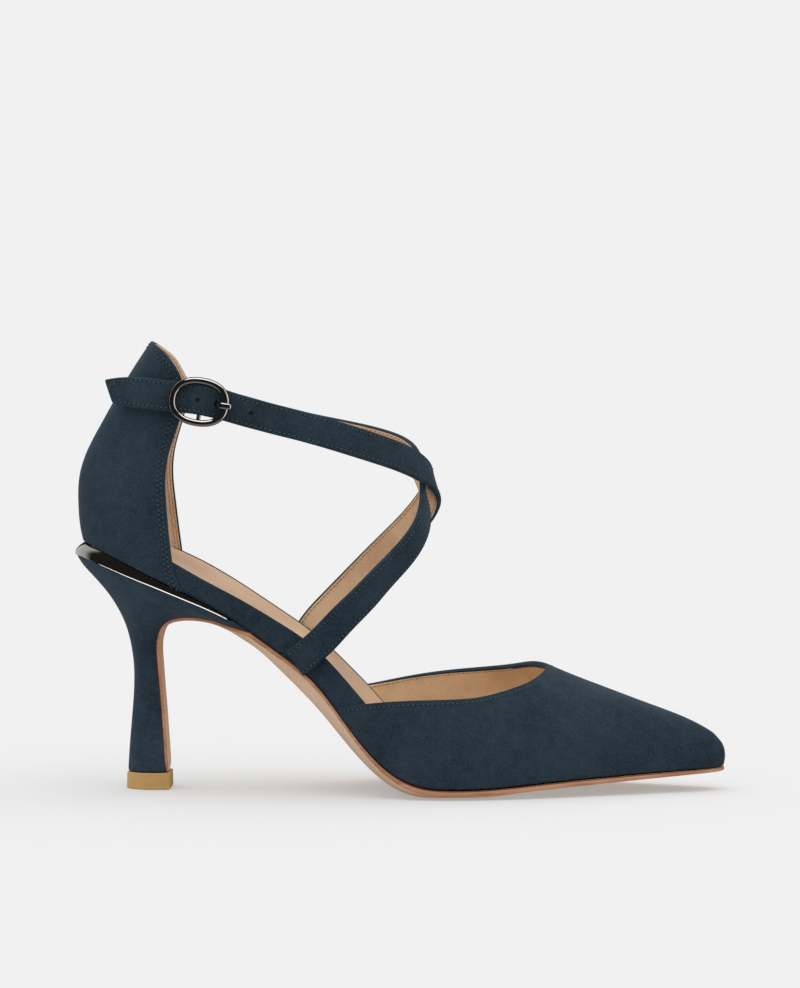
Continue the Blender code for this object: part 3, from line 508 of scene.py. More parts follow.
def run_along(points):
    """The distance along a line of points to each of them."""
    steps = np.linalg.norm(np.diff(points, axis=0), axis=1)
    return np.concatenate([[0.0], np.cumsum(steps)])


def station(share):
    """Where a share of the last's length lies when both round ends are opened out evenly."""
    return np.arccos(1.0 - 2.0 * np.clip(np.asarray(share, float), 0.0, 1.0)) / math.pi


def place_of(x):
    return station((np.asarray(x, float) - LAST_BACK) / LAST_LENGTH)


def x_at(place):
    return LAST_BACK + LAST_LENGTH * (1.0 - np.cos(math.pi * np.asarray(place))) / 2.0


LAST_TRACKS = {
    field: Track(station(column(LAST, "share")), column(LAST, field))
    for field in LastRow._fields[1:]
}
RIDGE_TRACK = Track(station(column(RIDGE, "share")), column(RIDGE, "height"))
TOPLINE_TRACKS = {
    side: Track(column(rows, "x"), column(rows, "z")) for side, rows in TOPLINE.items()
}
COUNTER_TRACKS = {
    field: Track(column(COUNTER, "z"), column(COUNTER, field)) for field in CounterRow._fields[1:]
}
PEAK_TRACKS = {side: Track(column(rows, "x"), column(rows, "z")) for side, rows in PEAK.items()}
TAIL_TRACKS = {field: Track(column(TAIL, "at"), column(TAIL, field)) for field in TailRow._fields[1:]}
WEDGE_TRACK = Track(column(WEDGE, "x"), column(WEDGE, "height"))
HEEL_TRACKS = {
    field: Track(range(len(HEEL)), column(HEEL, field)) for field in HeelRow._fields
}


def last(field, x):
    return LAST_TRACKS[field](place_of(x))


def feather(x):
    return HEEL_HEIGHT * last("feather", x)


def half_width(x, side):
    return BALL_WIDTH * np.maximum(last("lateral" if side == LATERAL else "medial", x), 0.0)


def ridge(x):
    return INSTEP * RIDGE_TRACK(place_of(x))


def bottom(x, share):
    """The last's underside; share runs from -1 at the lateral feather to +1 at the medial one."""
    flat = last("flat", x)
    crown = (np.maximum(np.abs(share) - flat, 0.0) / (1.0 - flat)) ** 2
    return feather(x) - np.maximum(last("camber", x), 0.0) * (1.0 - crown)


def bed(x, share):
    """The footbed before it is cupped; share runs from -1 at its lateral edge to +1 at its medial one."""
    dip = np.maximum(last("dip", x), 0.0) * ((1.0 - share) / 2.0) ** 2
    return feather(x) + last("bed", x) - dip


def outline(place, side, grow, tail=0.0):
    """A point of the last's outline seen from below, grown outward, and by tail more at its back."""
    reach = 1e-4
    ahead = x_at(np.clip(place + reach, 0.0, 1.0))
    behind = x_at(np.clip(place - reach, 0.0, 1.0))
    run = ahead - behind
    rise = half_width(ahead, side) - half_width(behind, side)
    length = np.hypot(run, rise)
    push = grow + tail * np.maximum(rise / length, 0.0) ** 2
    x = x_at(place)
    return x - push * rise / length, side * (half_width(x, side) + push * run / length)


def rung(place, shares, grow, tail=0.0):
    """Points straight across the last from the lateral to the medial outline."""
    lateral_x, lateral_y = outline(place, LATERAL, grow, tail)
    medial_x, medial_y = outline(place, MEDIAL, grow, tail)
    blend = (shares + 1.0) / 2.0
    return lateral_x + (medial_x - lateral_x) * blend, lateral_y + (medial_y - lateral_y) * blend


def unit(vectors):
    return vectors / np.maximum(np.linalg.norm(vectors, axis=-1, keepdims=True), 1e-12)


def level(normals):
    """Normals turned flat, so that an edge keeps its height through the wall."""
    return unit(normals * np.array([1.0, 1.0, 0.0]))


def grid_normals(points):
    """Unit normals of a grid of points, by the differences between neighbours."""
    return unit(np.cross(np.gradient(points, axis=1), np.gradient(points, axis=0)))


# Sewing pieces together

top_low, top_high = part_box("top_piece")
SEAT = np.array([top_high.x / MM - TOP_PIECE.breast_x, (top_low.y + top_high.y) / 2 / MM, 0.0])


class Pattern:
    """Grids of points that are sewn into one piece; each knows the number of its finish."""

    def __init__(self):
        self.points = []
        self.faces = []
        self.finishes = []
        self.count = 0

    def add(self, grid, finish=0, closed=False):
        grid = np.asarray(grid, float)
        rows, columns = grid.shape[:2]
        index = self.count + np.arange(rows * columns).reshape(rows, columns)
        if closed:
            index = np.concatenate([index, index[:, :1]], axis=1)
        quads = np.stack([index[:-1, :-1], index[:-1, 1:], index[1:, 1:], index[1:, :-1]], axis=-1)
        self.points.append(grid.reshape(-1, 3))
        self.faces.append(quads.reshape(-1, 4))
        self.finishes.append(np.broadcast_to(finish, quads.shape[:2]).reshape(-1))
        self.count += rows * columns

    def sew(self, name, finishes, smooth=0):
        """The welded piece, with smooth rounds of subdivision."""
        mesh = bpy.data.meshes.new(name)
        points = (np.concatenate(self.points) + SEAT) * MM
        mesh.from_pydata(points.tolist(), [], np.concatenate(self.faces).tolist())
        mesh.polygons.foreach_set("material_index", np.concatenate(self.finishes).astype(np.int32))
        shape = bmesh.new()
        shape.from_mesh(mesh)
        bmesh.ops.remove_doubles(shape, verts=shape.verts, dist=WELD)
        bmesh.ops.dissolve_degenerate(shape, edges=shape.edges, dist=SLIVER)
        bmesh.ops.recalc_face_normals(shape, faces=shape.faces)
        shape.to_mesh(mesh)
        shape.free()
        for finish in finishes:
            mesh.materials.append(finish)
        mesh.shade_smooth()
        piece = bpy.data.objects.new(name, mesh)
        bpy.context.scene.collection.objects.link(piece)
        if smooth:
            step = piece.modifiers.new("smooth", "SUBSURF")
            step.levels = smooth
            step.render_levels = smooth
        return piece


def loft(rings, closed=False):
    """A pattern over matching rings; point i faces point -1-i across each end cap."""
    rings = np.asarray(rings, float)
    pattern = Pattern()
    body = np.concatenate([rings, rings[:1]]) if closed else rings
    pattern.add(body, closed=True)
    if not closed:
        half = rings.shape[1] // 2
        for ring in (rings[0], rings[-1]):
            pattern.add(np.stack([ring[:half], ring[half:][::-1]]))
    return pattern


def dress(piece, slot, *nodes):
    """Hang a piece on the shoe and hide the solids that it stands for; its slot is not used."""
    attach(piece, "root")
    if nodes:
        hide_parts(*nodes)


# Finishes


def srgb(red, green, blue):
    """A colour given from 0 to 255, as the linear colour that a shader takes."""
    shares = [value / 255.0 for value in (red, green, blue)]
    linear = [s / 12.92 if s <= 0.04045 else ((s + 0.055) / 1.055) ** 2.4 for s in shares]
    return (*linear, 1.0)


class Shade:
    """A socket whose value varies over a surface; sums on it add Math nodes."""

    def __init__(self, finish, socket):
        self.finish = finish
        self.socket = socket

    def math(self, operation, first, second):
        return self.finish.node("ShaderNodeMath", {"operation": operation}, {0: first, 1: second})

    def __add__(self, other):
        return self.math("ADD", self, other)

    def __radd__(self, other):
        return self.math("ADD", other, self)

    def __sub__(self, other):
        return self.math("SUBTRACT", self, other)

    def __rsub__(self, other):
        return self.math("SUBTRACT", other, self)

    def __mul__(self, other):
        return self.math("MULTIPLY", self, other)

    def __rmul__(self, other):
        return self.math("MULTIPLY", other, self)


class Nodes:
    """A node tree whose nodes are added by type."""

    def __init__(self, tree):
        self.tree = tree

    def node(self, kind, settings=None, sockets=None, output=0):
        """Add a node, set its settings first and then its sockets, and give back one output."""
        made = self.tree.nodes.new(kind)
        for field, value in (settings or {}).items():
            setattr(made, field, value)
        self.plug(made, sockets or {})
        return Shade(self, made.outputs[output])

    def plug(self, node, sockets):
        for key, value in sockets.items():
            if isinstance(value, Shade):
                self.tree.links.new(value.socket, node.inputs[key])
            else:
                node.inputs[key].default_value = value

    def between(self, value, low, high):
        """0 under low and 1 over high, with a soft step."""
        settings = {"interpolation_type": "SMOOTHSTEP"}
        return self.node("ShaderNodeMapRange", settings, {0: value, 1: low, 2: high, 3: 0.0, 4: 1.0})


class Finish(Nodes):
    """A material around one Principled shader."""

    def __init__(self, name):
        self.material = bpy.data.materials.new(name)
        self.material.use_nodes = True
        super().__init__(self.material.node_tree)
        self.shader = self.tree.nodes["Principled BSDF"]

    def place(self, stretch=(1.0, 1.0, 1.0)):
        """The point on the shoe, in metres, squeezed or stretched along its axes."""
        point = self.node("ShaderNodeTexCoord", output="Object")
        return self.node("ShaderNodeVectorMath", {"operation": "MULTIPLY"}, {0: point, 1: stretch})

    def noise(self, size, detail=2.0, stretch=(1.0, 1.0, 1.0)):
        """Soft clouds about size millimetres across."""
        sockets = {"Vector": self.place(stretch), "Scale": 1.0 / (size * MM), "Detail": detail}
        return self.node("ShaderNodeTexNoise", None, sockets)

    def mix(self, share, first, second):
        """Two colours mixed; a Mix node takes colours at inputs 6 and 7 and gives one at output 2."""
        return self.node("ShaderNodeMix", {"data_type": "RGBA"}, {0: share, 6: first, 7: second}, output=2)

    def bump(self, height, depth, strength):
        """A surface raised by height, 0 to 1, over a depth in millimetres."""
        sockets = {"Height": height, "Distance": depth * MM, "Strength": strength}
        return self.node("ShaderNodeBump", None, sockets)

    def done(self, **sockets):
        self.plug(self.shader, {key.replace("_", " "): value for key, value in sockets.items()})
        return self.material


def make_suede(name, dark, light):
    """Short nap: faint clouds where it was stroked both ways, a speckled grain and a soft sheen."""
    finish = Finish(name)
    stroked = finish.noise(22.0, 2.0, (1.0, 1.0, 0.6))
    patches = finish.noise(4.0, 2.0)
    grain = finish.noise(0.7, 2.0)
    fibre = finish.noise(0.4, 1.0)
    tone = finish.between(0.35 * stroked + 0.25 * patches + 0.4 * grain, 0.30, 0.70)
    colour = finish.mix(tone, dark, light)
    flecks = finish.between(fibre, 0.58, 0.74)
    colour = finish.mix(0.4 * flecks, colour, srgb(62, 79, 91))
    pores = finish.between(grain, 0.36, 0.24)
    colour = finish.mix(0.4 * pores, colour, srgb(18, 24, 30))
    height = 0.6 * grain + 0.4 * fibre
    return finish.done(
        Base_Color=colour,
        Roughness=0.95,
        Specular_IOR_Level=0.12,
        Sheen_Weight=0.14,
        Sheen_Roughness=0.45,
        Sheen_Tint=srgb(150, 175, 195),
        Normal=finish.bump(height, 0.18, 0.55),
    )


def make_leather(name, dark, light, gloss, grain_size, cloud_size=14.0):
    """Smooth leather with a faint grain and soft, uneven colour."""
    finish = Finish(name)
    clouds = finish.noise(cloud_size, 2.0)
    grain = finish.noise(grain_size, 3.0)
    tone = finish.between(0.7 * clouds + 0.3 * grain, 0.35, 0.65)
    pores = finish.between(grain, 0.36, 0.24)
    colour = finish.mix(0.35 * pores, finish.mix(tone, dark, light), dark)
    return finish.done(
        Base_Color=colour,
        Roughness=gloss + 0.12 * grain,
        Specular_IOR_Level=0.35,
        Normal=finish.bump(grain, 0.06, 0.5),
    )


def make_sole_edge(name):
    """Painted sole edge: orange brown, burnished in long streaks."""
    finish = Finish(name)
    streaks = finish.noise(1.2, 2.0, (0.08, 0.08, 1.0))
    clouds = finish.noise(18.0, 2.0)
    tone = finish.between(0.5 * streaks + 0.5 * clouds, 0.36, 0.64)
    colour = finish.mix(tone, srgb(160, 102, 72), srgb(188, 134, 100))
    return finish.done(
        Base_Color=colour,
        Roughness=0.42 + 0.15 * streaks,
        Normal=finish.bump(streaks, 0.05, 0.4),
    )


def make_rubber(name):
    finish = Finish(name)
    clouds = finish.noise(5.0, 2.0)
    grit = finish.noise(0.5, 2.0)
    colour = finish.mix(clouds, srgb(172, 134, 76), srgb(196, 158, 96))
    return finish.done(
        Base_Color=colour,
        Roughness=0.5 + 0.15 * grit,
        Normal=finish.bump(grit, 0.05, 0.4),
    )


def make_metal(name, colour, polish):
    """Polished plating with faint smears that catch the light unevenly."""
    finish = Finish(name)
    smears = finish.noise(3.5, 3.0)
    swirls = finish.noise(0.4, 2.0)
    tint = finish.mix(0.5 * smears, colour, tuple(0.82 * value for value in colour[:3]) + (1.0,))
    return finish.done(
        Base_Color=tint,
        Metallic=1.0,
        Roughness=polish + 0.03 * smears,
        Normal=finish.bump(swirls, 0.01, 0.15),
    )


def make_thread(name, dark, light):
    finish = Finish(name)
    strands = finish.noise(0.35, 1.0)
    return finish.done(
        Base_Color=finish.mix(strands, dark, light),
        Roughness=0.6 + 0.2 * strands,
        Specular_IOR_Level=0.3,
    )


suede = make_suede("suede", srgb(26, 36, 44), srgb(43, 57, 67))
# Painted light: the heel's cover is the same suede, made lighter to make up for the shade low on the shoe
heel_suede = make_suede("heel_suede", srgb(31, 42, 51), srgb(50, 66, 78))
lining = make_leather("lining", srgb(196, 162, 128), srgb(214, 184, 152), 0.52, 0.9)
counter_lining = make_leather("counter_lining", srgb(204, 176, 150), srgb(222, 198, 172), 0.52, 0.9)
# Painted light: the vamp's lining is made lighter than the other lining to make up for the shade inside the
# vamp
vamp_lining = make_leather("vamp_lining", srgb(210, 180, 144), srgb(230, 204, 168), 0.55, 0.8)
sock_leather = make_leather("sock_leather", srgb(186, 155, 126), srgb(201, 171, 142), 0.5, 0.7, 40.0)
sole_leather = make_leather("sole_leather", srgb(206, 169, 134), srgb(222, 190, 158), 0.42, 1.2, 30.0)
sole_edge = make_sole_edge("sole_edge")
rubber = make_rubber("rubber")
gun_metal = make_metal("gun_metal", srgb(165, 161, 157), 0.04)
suede_thread = make_thread("suede_thread", srgb(34, 46, 56), srgb(66, 87, 100))
lining_thread = make_thread("lining_thread", srgb(178, 136, 96), srgb(206, 166, 122))
# Painted shade: the walls of the strap's punched holes are dark for the shade inside them
hole_edge = make_thread("hole_edge", srgb(34, 32, 38), srgb(58, 54, 62))
# Painted shade: the needles' holes in suede and in lining are drawn as dark dots
suede_hole = make_thread("suede_hole", srgb(12, 16, 20), srgb(18, 24, 30))
lining_hole = make_thread("lining_hole", srgb(112, 80, 56), srgb(138, 100, 72))
# Painted shade: a dark line for the shade in the gap where the upper meets the sole, and for the sock's seam
# with the shade in its corner
sole_seam = make_thread("sole_seam", srgb(84, 50, 34), srgb(116, 72, 50))


# Stitches


def stitch_shape(sides=6):
    """One stitch along X: a short fat thread whose ends dive into the leather."""
    reach = np.array([-0.5, -0.36, 0.0, 0.36, 0.5])
    fat = np.array([0.25, 0.85, 1.0, 0.85, 0.25])
    dive = np.array([-1.1, -0.1, 0.25, -0.1, -1.1])
    turn = 2.0 * math.pi * np.arange(sides) / sides
    x = np.repeat(reach[:, None] * STITCH_LENGTH, sides, axis=1)
    y = THREAD * fat[:, None] * np.cos(turn)
    z = THREAD * (dive[:, None] + fat[:, None] * np.sin(turn))
    return np.stack([x, y, z], axis=-1)


def needle_shape(sides=8):
    """A needle's hole, drawn as a dark dot of painted shade that lies on the leather."""
    turn = 2.0 * math.pi * np.arange(sides) / sides
    circle = NEEDLE * np.stack([np.cos(turn), np.sin(turn), 0.0 * turn], axis=-1)
    rise = np.array([0.0, 0.0, NEEDLE_RISE])
    return np.stack([circle - rise, 0.6 * circle + rise, 0.0 * circle + rise])


def even_steps(line):
    """Places along a line of points, as fractions of its steps, a stitch's pitch apart."""
    run = run_along(line)
    count = max(int(run[-1] / STITCH_PITCH), 1)
    at = (np.arange(count) + 0.5) * run[-1] / count
    return np.interp(at, run, np.arange(len(line)))


def along_line(values, at):
    low = np.clip(np.floor(at).astype(int), 0, len(values) - 2)
    share = (at - low)[:, None]
    return values[low] * (1.0 - share) + values[low + 1] * share


def stitch_row(pattern, line, normals):
    """Add a row of stitches, with needle holes of painted shade between them, on a line of points with
    normals.
    """
    steps = even_steps(line)
    holes = (steps[:-1] + steps[1:]) / 2.0
    for finish, shape, at in ((0, stitch_shape(), steps), (1, needle_shape(), holes)):
        points = along_line(line, at)
        out = unit(along_line(normals, at))
        along = unit(along_line(np.gradient(line, axis=0), at))
        side = unit(np.cross(out, along))
        out = np.cross(along, side)
        for point, one, two, three in zip(points, along, side, out):
            pattern.add(point + shape @ np.stack([one, two, three]), finish, closed=True)


def even_seam(line, normals, count):
    """A seam's line and its normals, taken at even distances."""
    run = run_along(line)
    at = np.linspace(0.0, run[-1], count)
    line, normals = (
        np.stack([np.interp(at, run, values[:, i]) for i in range(3)], axis=-1)
        for values in (line, normals)
    )
    return line, unit(normals)


def beside_topline(edge, normals, inset):
    """A line on the vamp, inset from its topline, away from the throat's opening."""
    along = unit(np.gradient(edge, axis=0))
    inward = unit(np.cross(normals, along))
    inward *= np.sign(np.sum(inward * (edge - OPENING), axis=-1, keepdims=True))
    return edge + inset * inward


# Vamp


def topline_rise(x, side):
    """How far round its section the vamp reaches at x: 1 is the ridge."""
    low = feather(x)
    share = np.clip((TOPLINE_TRACKS[side](x) - low) / (ridge(x) - low), 0.0, 1.0)
    return np.where(x >= THROAT, 1.0, np.arcsin(share ** (VAMP_FULLNESS / 2.0)) * 2.0 / math.pi)


def vamp_points(x, side, climb):
    """The vamp's outside; climb runs from 0 at the feather to 1 at the topline or ridge."""
    angle = climb * topline_rise(x, side) * math.pi / 2.0
    across = np.maximum(np.cos(angle), 0.0) ** (2.0 / VAMP_FULLNESS)
    up = np.sin(angle) ** (2.0 / VAMP_FULLNESS)
    low = feather(x)
    z = low + FIT / 2.0 + np.maximum(ridge(x) - low, 0.0) * up
    return np.stack([x, side * half_width(x, side) * across, z], axis=-1)


def ridge_normals(x):
    reach = 0.05
    slope = (ridge(x + reach) - ridge(x - reach)) / (2.0 * reach)
    return unit(np.stack([-slope, 0.0 * x, 0.0 * x + 1.0], axis=-1))


def vamp_stations(side, throat_rows, toe_rows):
    """Rows that close up towards the throat's front and the toe's tip."""
    rear = TOPLINE[side][0].x
    left = 1.0 - np.linspace(0.0, 1.0, throat_rows)
    throat = THROAT - (THROAT - rear) * (left + left**2) / 2.0
    toe = THROAT + (SHOE_LENGTH - THROAT) * (1.0 - (1.0 - np.linspace(0.0, 1.0, toe_rows)) ** 2)
    return np.concatenate([throat[:1], [rear + VAMP_REAR_HEM], throat[1:], toe[1:]])


def climb_rows(count, hem):
    """Shares of a wall's height, closing up towards its top, with one more row just over its foot."""
    climb = 1.0 - (1.0 - np.linspace(0.0, 1.0, count)) ** TOP_CLOSE_UP
    return np.concatenate([climb[:1], [hem], climb[1:]])


def nose_bulge(points):
    """How far forward the toe's nose stands out over the sole, most at half its height."""
    from_tip = (SHOE_LENGTH - points[..., 0]) / NOSE_REACH
    above = np.clip((points[..., 2] - feather(points[..., 0])) / NOSE_HEIGHT, 0.0, 1.0)
    bulge = NOSE_BULGE * np.sin(math.pi * above) - NOSE_TUCK * (1.0 - above) ** 2
    return bulge * np.exp(-(from_tip**2))


def vamp_half(side, throat_rows=44, toe_rows=34, columns=18):
    """One side's outside with its normals, and how many of its rows end at the topline."""
    x = vamp_stations(side, throat_rows, toe_rows)[:, None]
    climb = climb_rows(columns, VAMP_HEM)
    climb[-2] = 1.0 - TOPLINE_FOLD
    outer = vamp_points(x + 0.0 * climb, side, climb + 0.0 * x)
    outer[..., 0] += nose_bulge(outer)
    normals = grid_normals(outer)
    outward = [0.3, side, 0.3]
    normals *= np.sign(np.sum(normals * outward, axis=-1, keepdims=True))
    normals[:, 0] = level(normals[:, 0])
    edge_rows = throat_rows + 1
    normals[edge_rows - 1 :, -1] = ridge_normals(x[edge_rows - 1 :, 0])
    normals[-1] = (1.0, 0.0, 0.0)
    return outer, normals, edge_rows


def lining_creases(points):
    """How far the creases push the vamp's lining in, fading out to the wall's edges."""
    height = np.linspace(0.0, 1.0, points.shape[1])
    push = 0.0
    for crease in LINING_CREASES:
        place = crease.x - crease.lean * (height - 0.5)
        push = push + crease.deep * np.exp(-(((points[..., 0] - place) / crease.wide) ** 2))
    return push * np.sin(math.pi * height) ** 2


def make_vamp():
    pattern = Pattern()
    edges = {}
    for side in (LATERAL, MEDIAL):
        outer, normals, edge_rows = vamp_half(side)
        inner = outer - (VAMP_WALL + lining_creases(outer))[..., None] * normals
        fold = np.ones((len(inner) - 1, inner.shape[1] - 1), int)
        fold[: edge_rows - 1, -1] = 0
        fold[: edge_rows - 1, -2] = inner[: edge_rows - 1, -1, 0] < THROAT - FOLD_WIDENS
        pattern.add(outer)
        pattern.add(inner, fold)
        pattern.add(np.stack([outer[:, 0], inner[:, 0]]))
        pattern.add(np.stack([outer[0], inner[0]]))
        rim = [outer - share * VAMP_WALL * normals for share in RIM]
        pattern.add(np.stack([wall[:edge_rows, -1] for wall in rim]))
        edges[side] = (outer[:edge_rows, -1], normals[:edge_rows, -1])
        make_sock_seam_and_shade(side, inner)
    # The vamp's lining takes the leather that is painted lighter for the shade inside it
    vamp = pattern.sew("vamp", [suede, vamp_lining], smooth=2)
    dress(vamp, "suede", "upper")
    make_vamp_stitches(edges)


def make_sock_seam_and_shade(side, inner):
    """The dark line where the vamp's lining stands on the sock: its seam, and painted shade in the corner
    between them.
    """
    line = []
    for row in inner:
        height = float(bed(row[0, 0], side)) + SOCK_SEAM
        if row[0, 2] < height < row[-1, 2] and row[0, 0] < THROAT:
            line.append([np.interp(height, row[:, 2], row[:, i]) for i in range(3)])
    name = "sock_seam_and_shade_lateral" if side == LATERAL else "sock_seam_and_shade_medial"
    seam = loft(tube(line, SOCK_SEAM, sides=8)).sew(name, [sole_seam])
    dress(seam, "lining")


def make_vamp_stitches(edges):
    """One row under the topline outside, in suede's colour, and one on the lining, in tan."""
    line, normals = (
        np.concatenate([lateral, medial[::-1][1:]])
        for lateral, medial in zip(edges[LATERAL], edges[MEDIAL])
    )
    line, normals = even_seam(line, normals, count=240)
    outside = Pattern()
    stitch_row(outside, beside_topline(line, normals, VAMP_SEAM), normals)
    dress(outside.sew("vamp_stitches", [suede_thread, suede_hole]), "suede")
    inside = Pattern()
    stitch_row(inside, beside_topline(line, normals, LINING_SEAM) - VAMP_WALL * normals, -normals)
    dress(inside.sew("vamp_lining_stitches", [lining_thread, lining_hole]), "lining")


# Heel counter


def counter_point(turn, z):
    """The counter's outside; turn is -90 degrees at its lateral front edge and +90 at its medial one."""
    depth = np.abs(np.cos(turn)) ** (2.0 / COUNTER_FULLNESS)
    wide = np.abs(np.sin(turn)) ** (2.0 / COUNTER_FULLNESS)
    back, front, half, setback = (COUNTER_TRACKS[field](z) for field in CounterRow._fields[1:])
    front = front - setback * np.maximum(np.sin(turn), 0.0) ** 2
    return np.stack([front - (front - back) * depth, np.sign(turn) * half * wide, z], axis=-1)


def counter_edge(turn, edge, halvings=40):
    """The height where the counter meets an edge line given as a function of x."""
    low = np.full_like(turn, COUNTER[0].z)
    high = np.full_like(turn, COUNTER[-1].z)
    for _ in range(halvings):
        middle = (low + high) / 2.0
        above = middle > edge(counter_point(turn, middle)[..., 0])
        high = np.where(above, middle, high)
        low = np.where(above, low, middle)
    return (low + high) / 2.0


def make_counter(columns=49, rows=26):
    u = np.linspace(-1.0, 1.0, columns)
    turn = np.sign(u) * (1.0 - (1.0 - np.abs(u)) ** FRONT_CLOSE_UP) * math.pi / 2.0
    low = counter_edge(turn, lambda x: feather(x) + FIT / 2.0)
    lateral, medial = (counter_edge(turn, PEAK_TRACKS[side]) for side in (LATERAL, MEDIAL))
    high = np.where(turn > 0.0, medial, lateral)
    climb = climb_rows(rows, COUNTER_HEM)[:, None]
    outer = counter_point(turn + 0.0 * climb, low + (high - low) * climb)
    normals = grid_normals(outer)
    away = outer - np.array([THROAT, 0.0, 0.0])
    normals *= np.sign(np.sum(normals * away * [1.0, 1.0, 0.0], axis=-1, keepdims=True))
    normals[0] = level(normals[0])
    walls = [outer - share * COUNTER_WALL * normals for share in RIM]
    pattern = Pattern()
    pattern.add(walls[0])
    fold = np.ones((len(outer) - 1, columns - 1), int)
    fold[:, (0, -1)] = 0
    pattern.add(walls[-1], fold)
    pattern.add(np.stack([walls[0][0], walls[-1][0]]))
    pattern.add(np.stack([wall[-1] for wall in walls]))
    for i in (0, -1):
        pattern.add(np.stack([wall[:, i] for wall in walls]))
    counter = pattern.sew("counter", [suede, counter_lining], smooth=2)
    dress(counter, "suede", "upper")
    border = [(slice(None), 0), (-1, slice(1, None)), (slice(-2, None, -1), -1)]
    line = np.concatenate([outer[part] for part in border])
    normals = np.concatenate([normals[part] for part in border])
    make_counter_stitches(line, normals)


def make_counter_stitches(line, normals):
    """Two rows beside the counter's front and top edges, outside and on the lining."""
    line, normals = even_seam(line, normals, count=300)
    inward = unit(np.cross(normals, unit(np.gradient(line, axis=0))))
    outside = Pattern()
    inside = Pattern()
    for seam in COUNTER_SEAMS:
        stitch_row(outside, line + seam * inward, normals)
    for seam in COUNTER_LINING_SEAMS:
        stitch_row(inside, line + seam * inward - COUNTER_WALL * normals, -normals)
    dress(outside.sew("counter_stitches", [suede_thread, suede_hole]), "suede")
    dress(inside.sew("counter_lining_stitches", [lining_thread, lining_hole]), "lining")


# Waist walls


def make_waist_wall(name, side, rows=90):
    """The low suede wall along the open waist, with a soft top edge."""
    x = np.linspace(BAND_START, BAND_END, rows)[:, None]
    face = half_width(x, side) - BAND_STEP
    low = feather(x) + FIT / 2.0
    high = bed(x, side) + FIT
    climb = np.linspace(0.0, 1.0, 8)[:-1]
    turn = np.linspace(0.0, math.pi, 7)
    round_off = BAND_WALL / 2.0
    wall_y = face - BAND_LEAN * climb
    wall_z = low + (high - low) * climb
    top_y = face - BAND_LEAN - round_off + round_off * np.cos(turn)
    top_z = high - round_off + round_off * np.sin(turn)
    y = side * np.concatenate([wall_y, top_y, wall_y[:, ::-1] - BAND_WALL], axis=1)
    z = np.concatenate([wall_z, top_z, wall_z[:, ::-1]], axis=1)
    pattern = Pattern()
    pattern.add(np.stack([x + 0.0 * y, y, z], axis=-1), closed=True)
    dress(pattern.sew(name, [suede]), "suede", "upper")


# Insole


def cup(x):
    """How far the footbed's middle lies under its edges: full at the heel, none at the ball."""
    share = (x - LAST_BACK) / LAST_LENGTH
    fade = np.clip((share - CUP_FADES_FROM) / CUP_FADES_OVER, 0.0, 1.0)
    return INSOLE_CUP * (1.0 - fade * fade * (3.0 - 2.0 * fade))


def sole_places():
    """Stations shared by insole and outsole, closer where the arch bends down to the ball."""
    rear_rows, arch_rows, toe_rows = SOLE_ROWS
    rear = np.linspace(SOLE_END, place_of(WEDGE[-1].x), rear_rows)
    arch = place_of(np.linspace(WEDGE[-1].x, ARCH_END, arch_rows))
    toe = np.linspace(place_of(ARCH_END), 1.0 - SOLE_END, toe_rows)
    return np.concatenate([rear, arch[1:], toe[1:]])


def make_insole(across=31):
    shares = np.linspace(-1.0, 1.0, across)
    rings = []
    for place in sole_places():
        x, y = rung(place, shares, -INSOLE_INSET)
        high = bed(x, shares) - cup(x) * (1.0 - shares**2)
        low = bottom(x, shares) + FIT / 2.0
        top = np.stack([x, y, high], axis=-1)
        under = np.stack([x, y, low], axis=-1)
        rings.append(np.concatenate([top, under[::-1]]))
    insole = loft(rings).sew("insole_sock", [sock_leather])
    soften(insole, 40.0)
    dress(insole, "lining", "insole")


def soften(piece, angle):
    """Keep edges sharper than an angle, in degrees, crisp in the shading."""
    piece.data.set_sharp_from_angle(angle=math.radians(angle))


# Outsole and heel


def heel_row(index):
    return HeelRow(*(float(HEEL_TRACKS[field](index)) for field in HeelRow._fields))


def sole_section(top, under, swell):
    """A ring round the sole: its top, its rounded medial edge, its underside and its lateral edge."""
    depth = np.linspace(0.0, 1.0, EDGE_POINTS + 2)[1:-1, None]
    swollen = swell * np.sin(math.pi * depth) ** EDGE_ROUND
    sides = []
    for end in (-1, 0):
        out = unit(top[end] - top[0 if end else -1]) * [1.0, 1.0, 0.0]
        drop = under[end] - top[end]
        sides.append(top[end] + drop * depth + out * swollen)
    return np.concatenate([top, sides[0], under[::-1], sides[1][::-1]])


def arch_swell(x):
    """How much thicker the sole's middle is where it turns down the breast, fading out along the arch."""
    return BREAST_SWELL * (1.0 - np.clip((x - SOLE_LEAVES) / SWELL_FADES_OVER, 0.0, 1.0)) ** 2


def breast_ring(index, shares):
    """A ring of the outsole where it runs down the heel's breast."""
    row = heel_row(index)
    before = heel_row(max(index - 0.5, 0.0))
    after = heel_row(min(index + 0.5, len(HEEL) - 1))
    run = after.breast_x - before.breast_x
    drop = after.breast_z - before.breast_z
    out = np.array([drop, 0.0, -run]) / -math.hypot(run, drop)
    tip = max(0.0, (index - len(HEEL) + 1.0 + BREAST_TIP) / BREAST_TIP) ** 3
    y = shares * (row.breast_half + BREAST_MARGIN) * (1.0 - BREAST_TIP_NARROWS * tip)
    middle = np.stack([0.0 * y + row.breast_x, y, 0.0 * y + row.breast_z], axis=-1)
    swell = BREAST_SWELL * max(0.0, 1.0 - index / BREAST_SWELL_ROWS) ** 3
    thick = (BREAST_SOLE + swell * (1.0 - shares**2)) * (1.0 - BREAST_TIP_THINS * tip)
    return middle + BREAST_GAP * out, middle + (FIT + thick)[:, None] * out


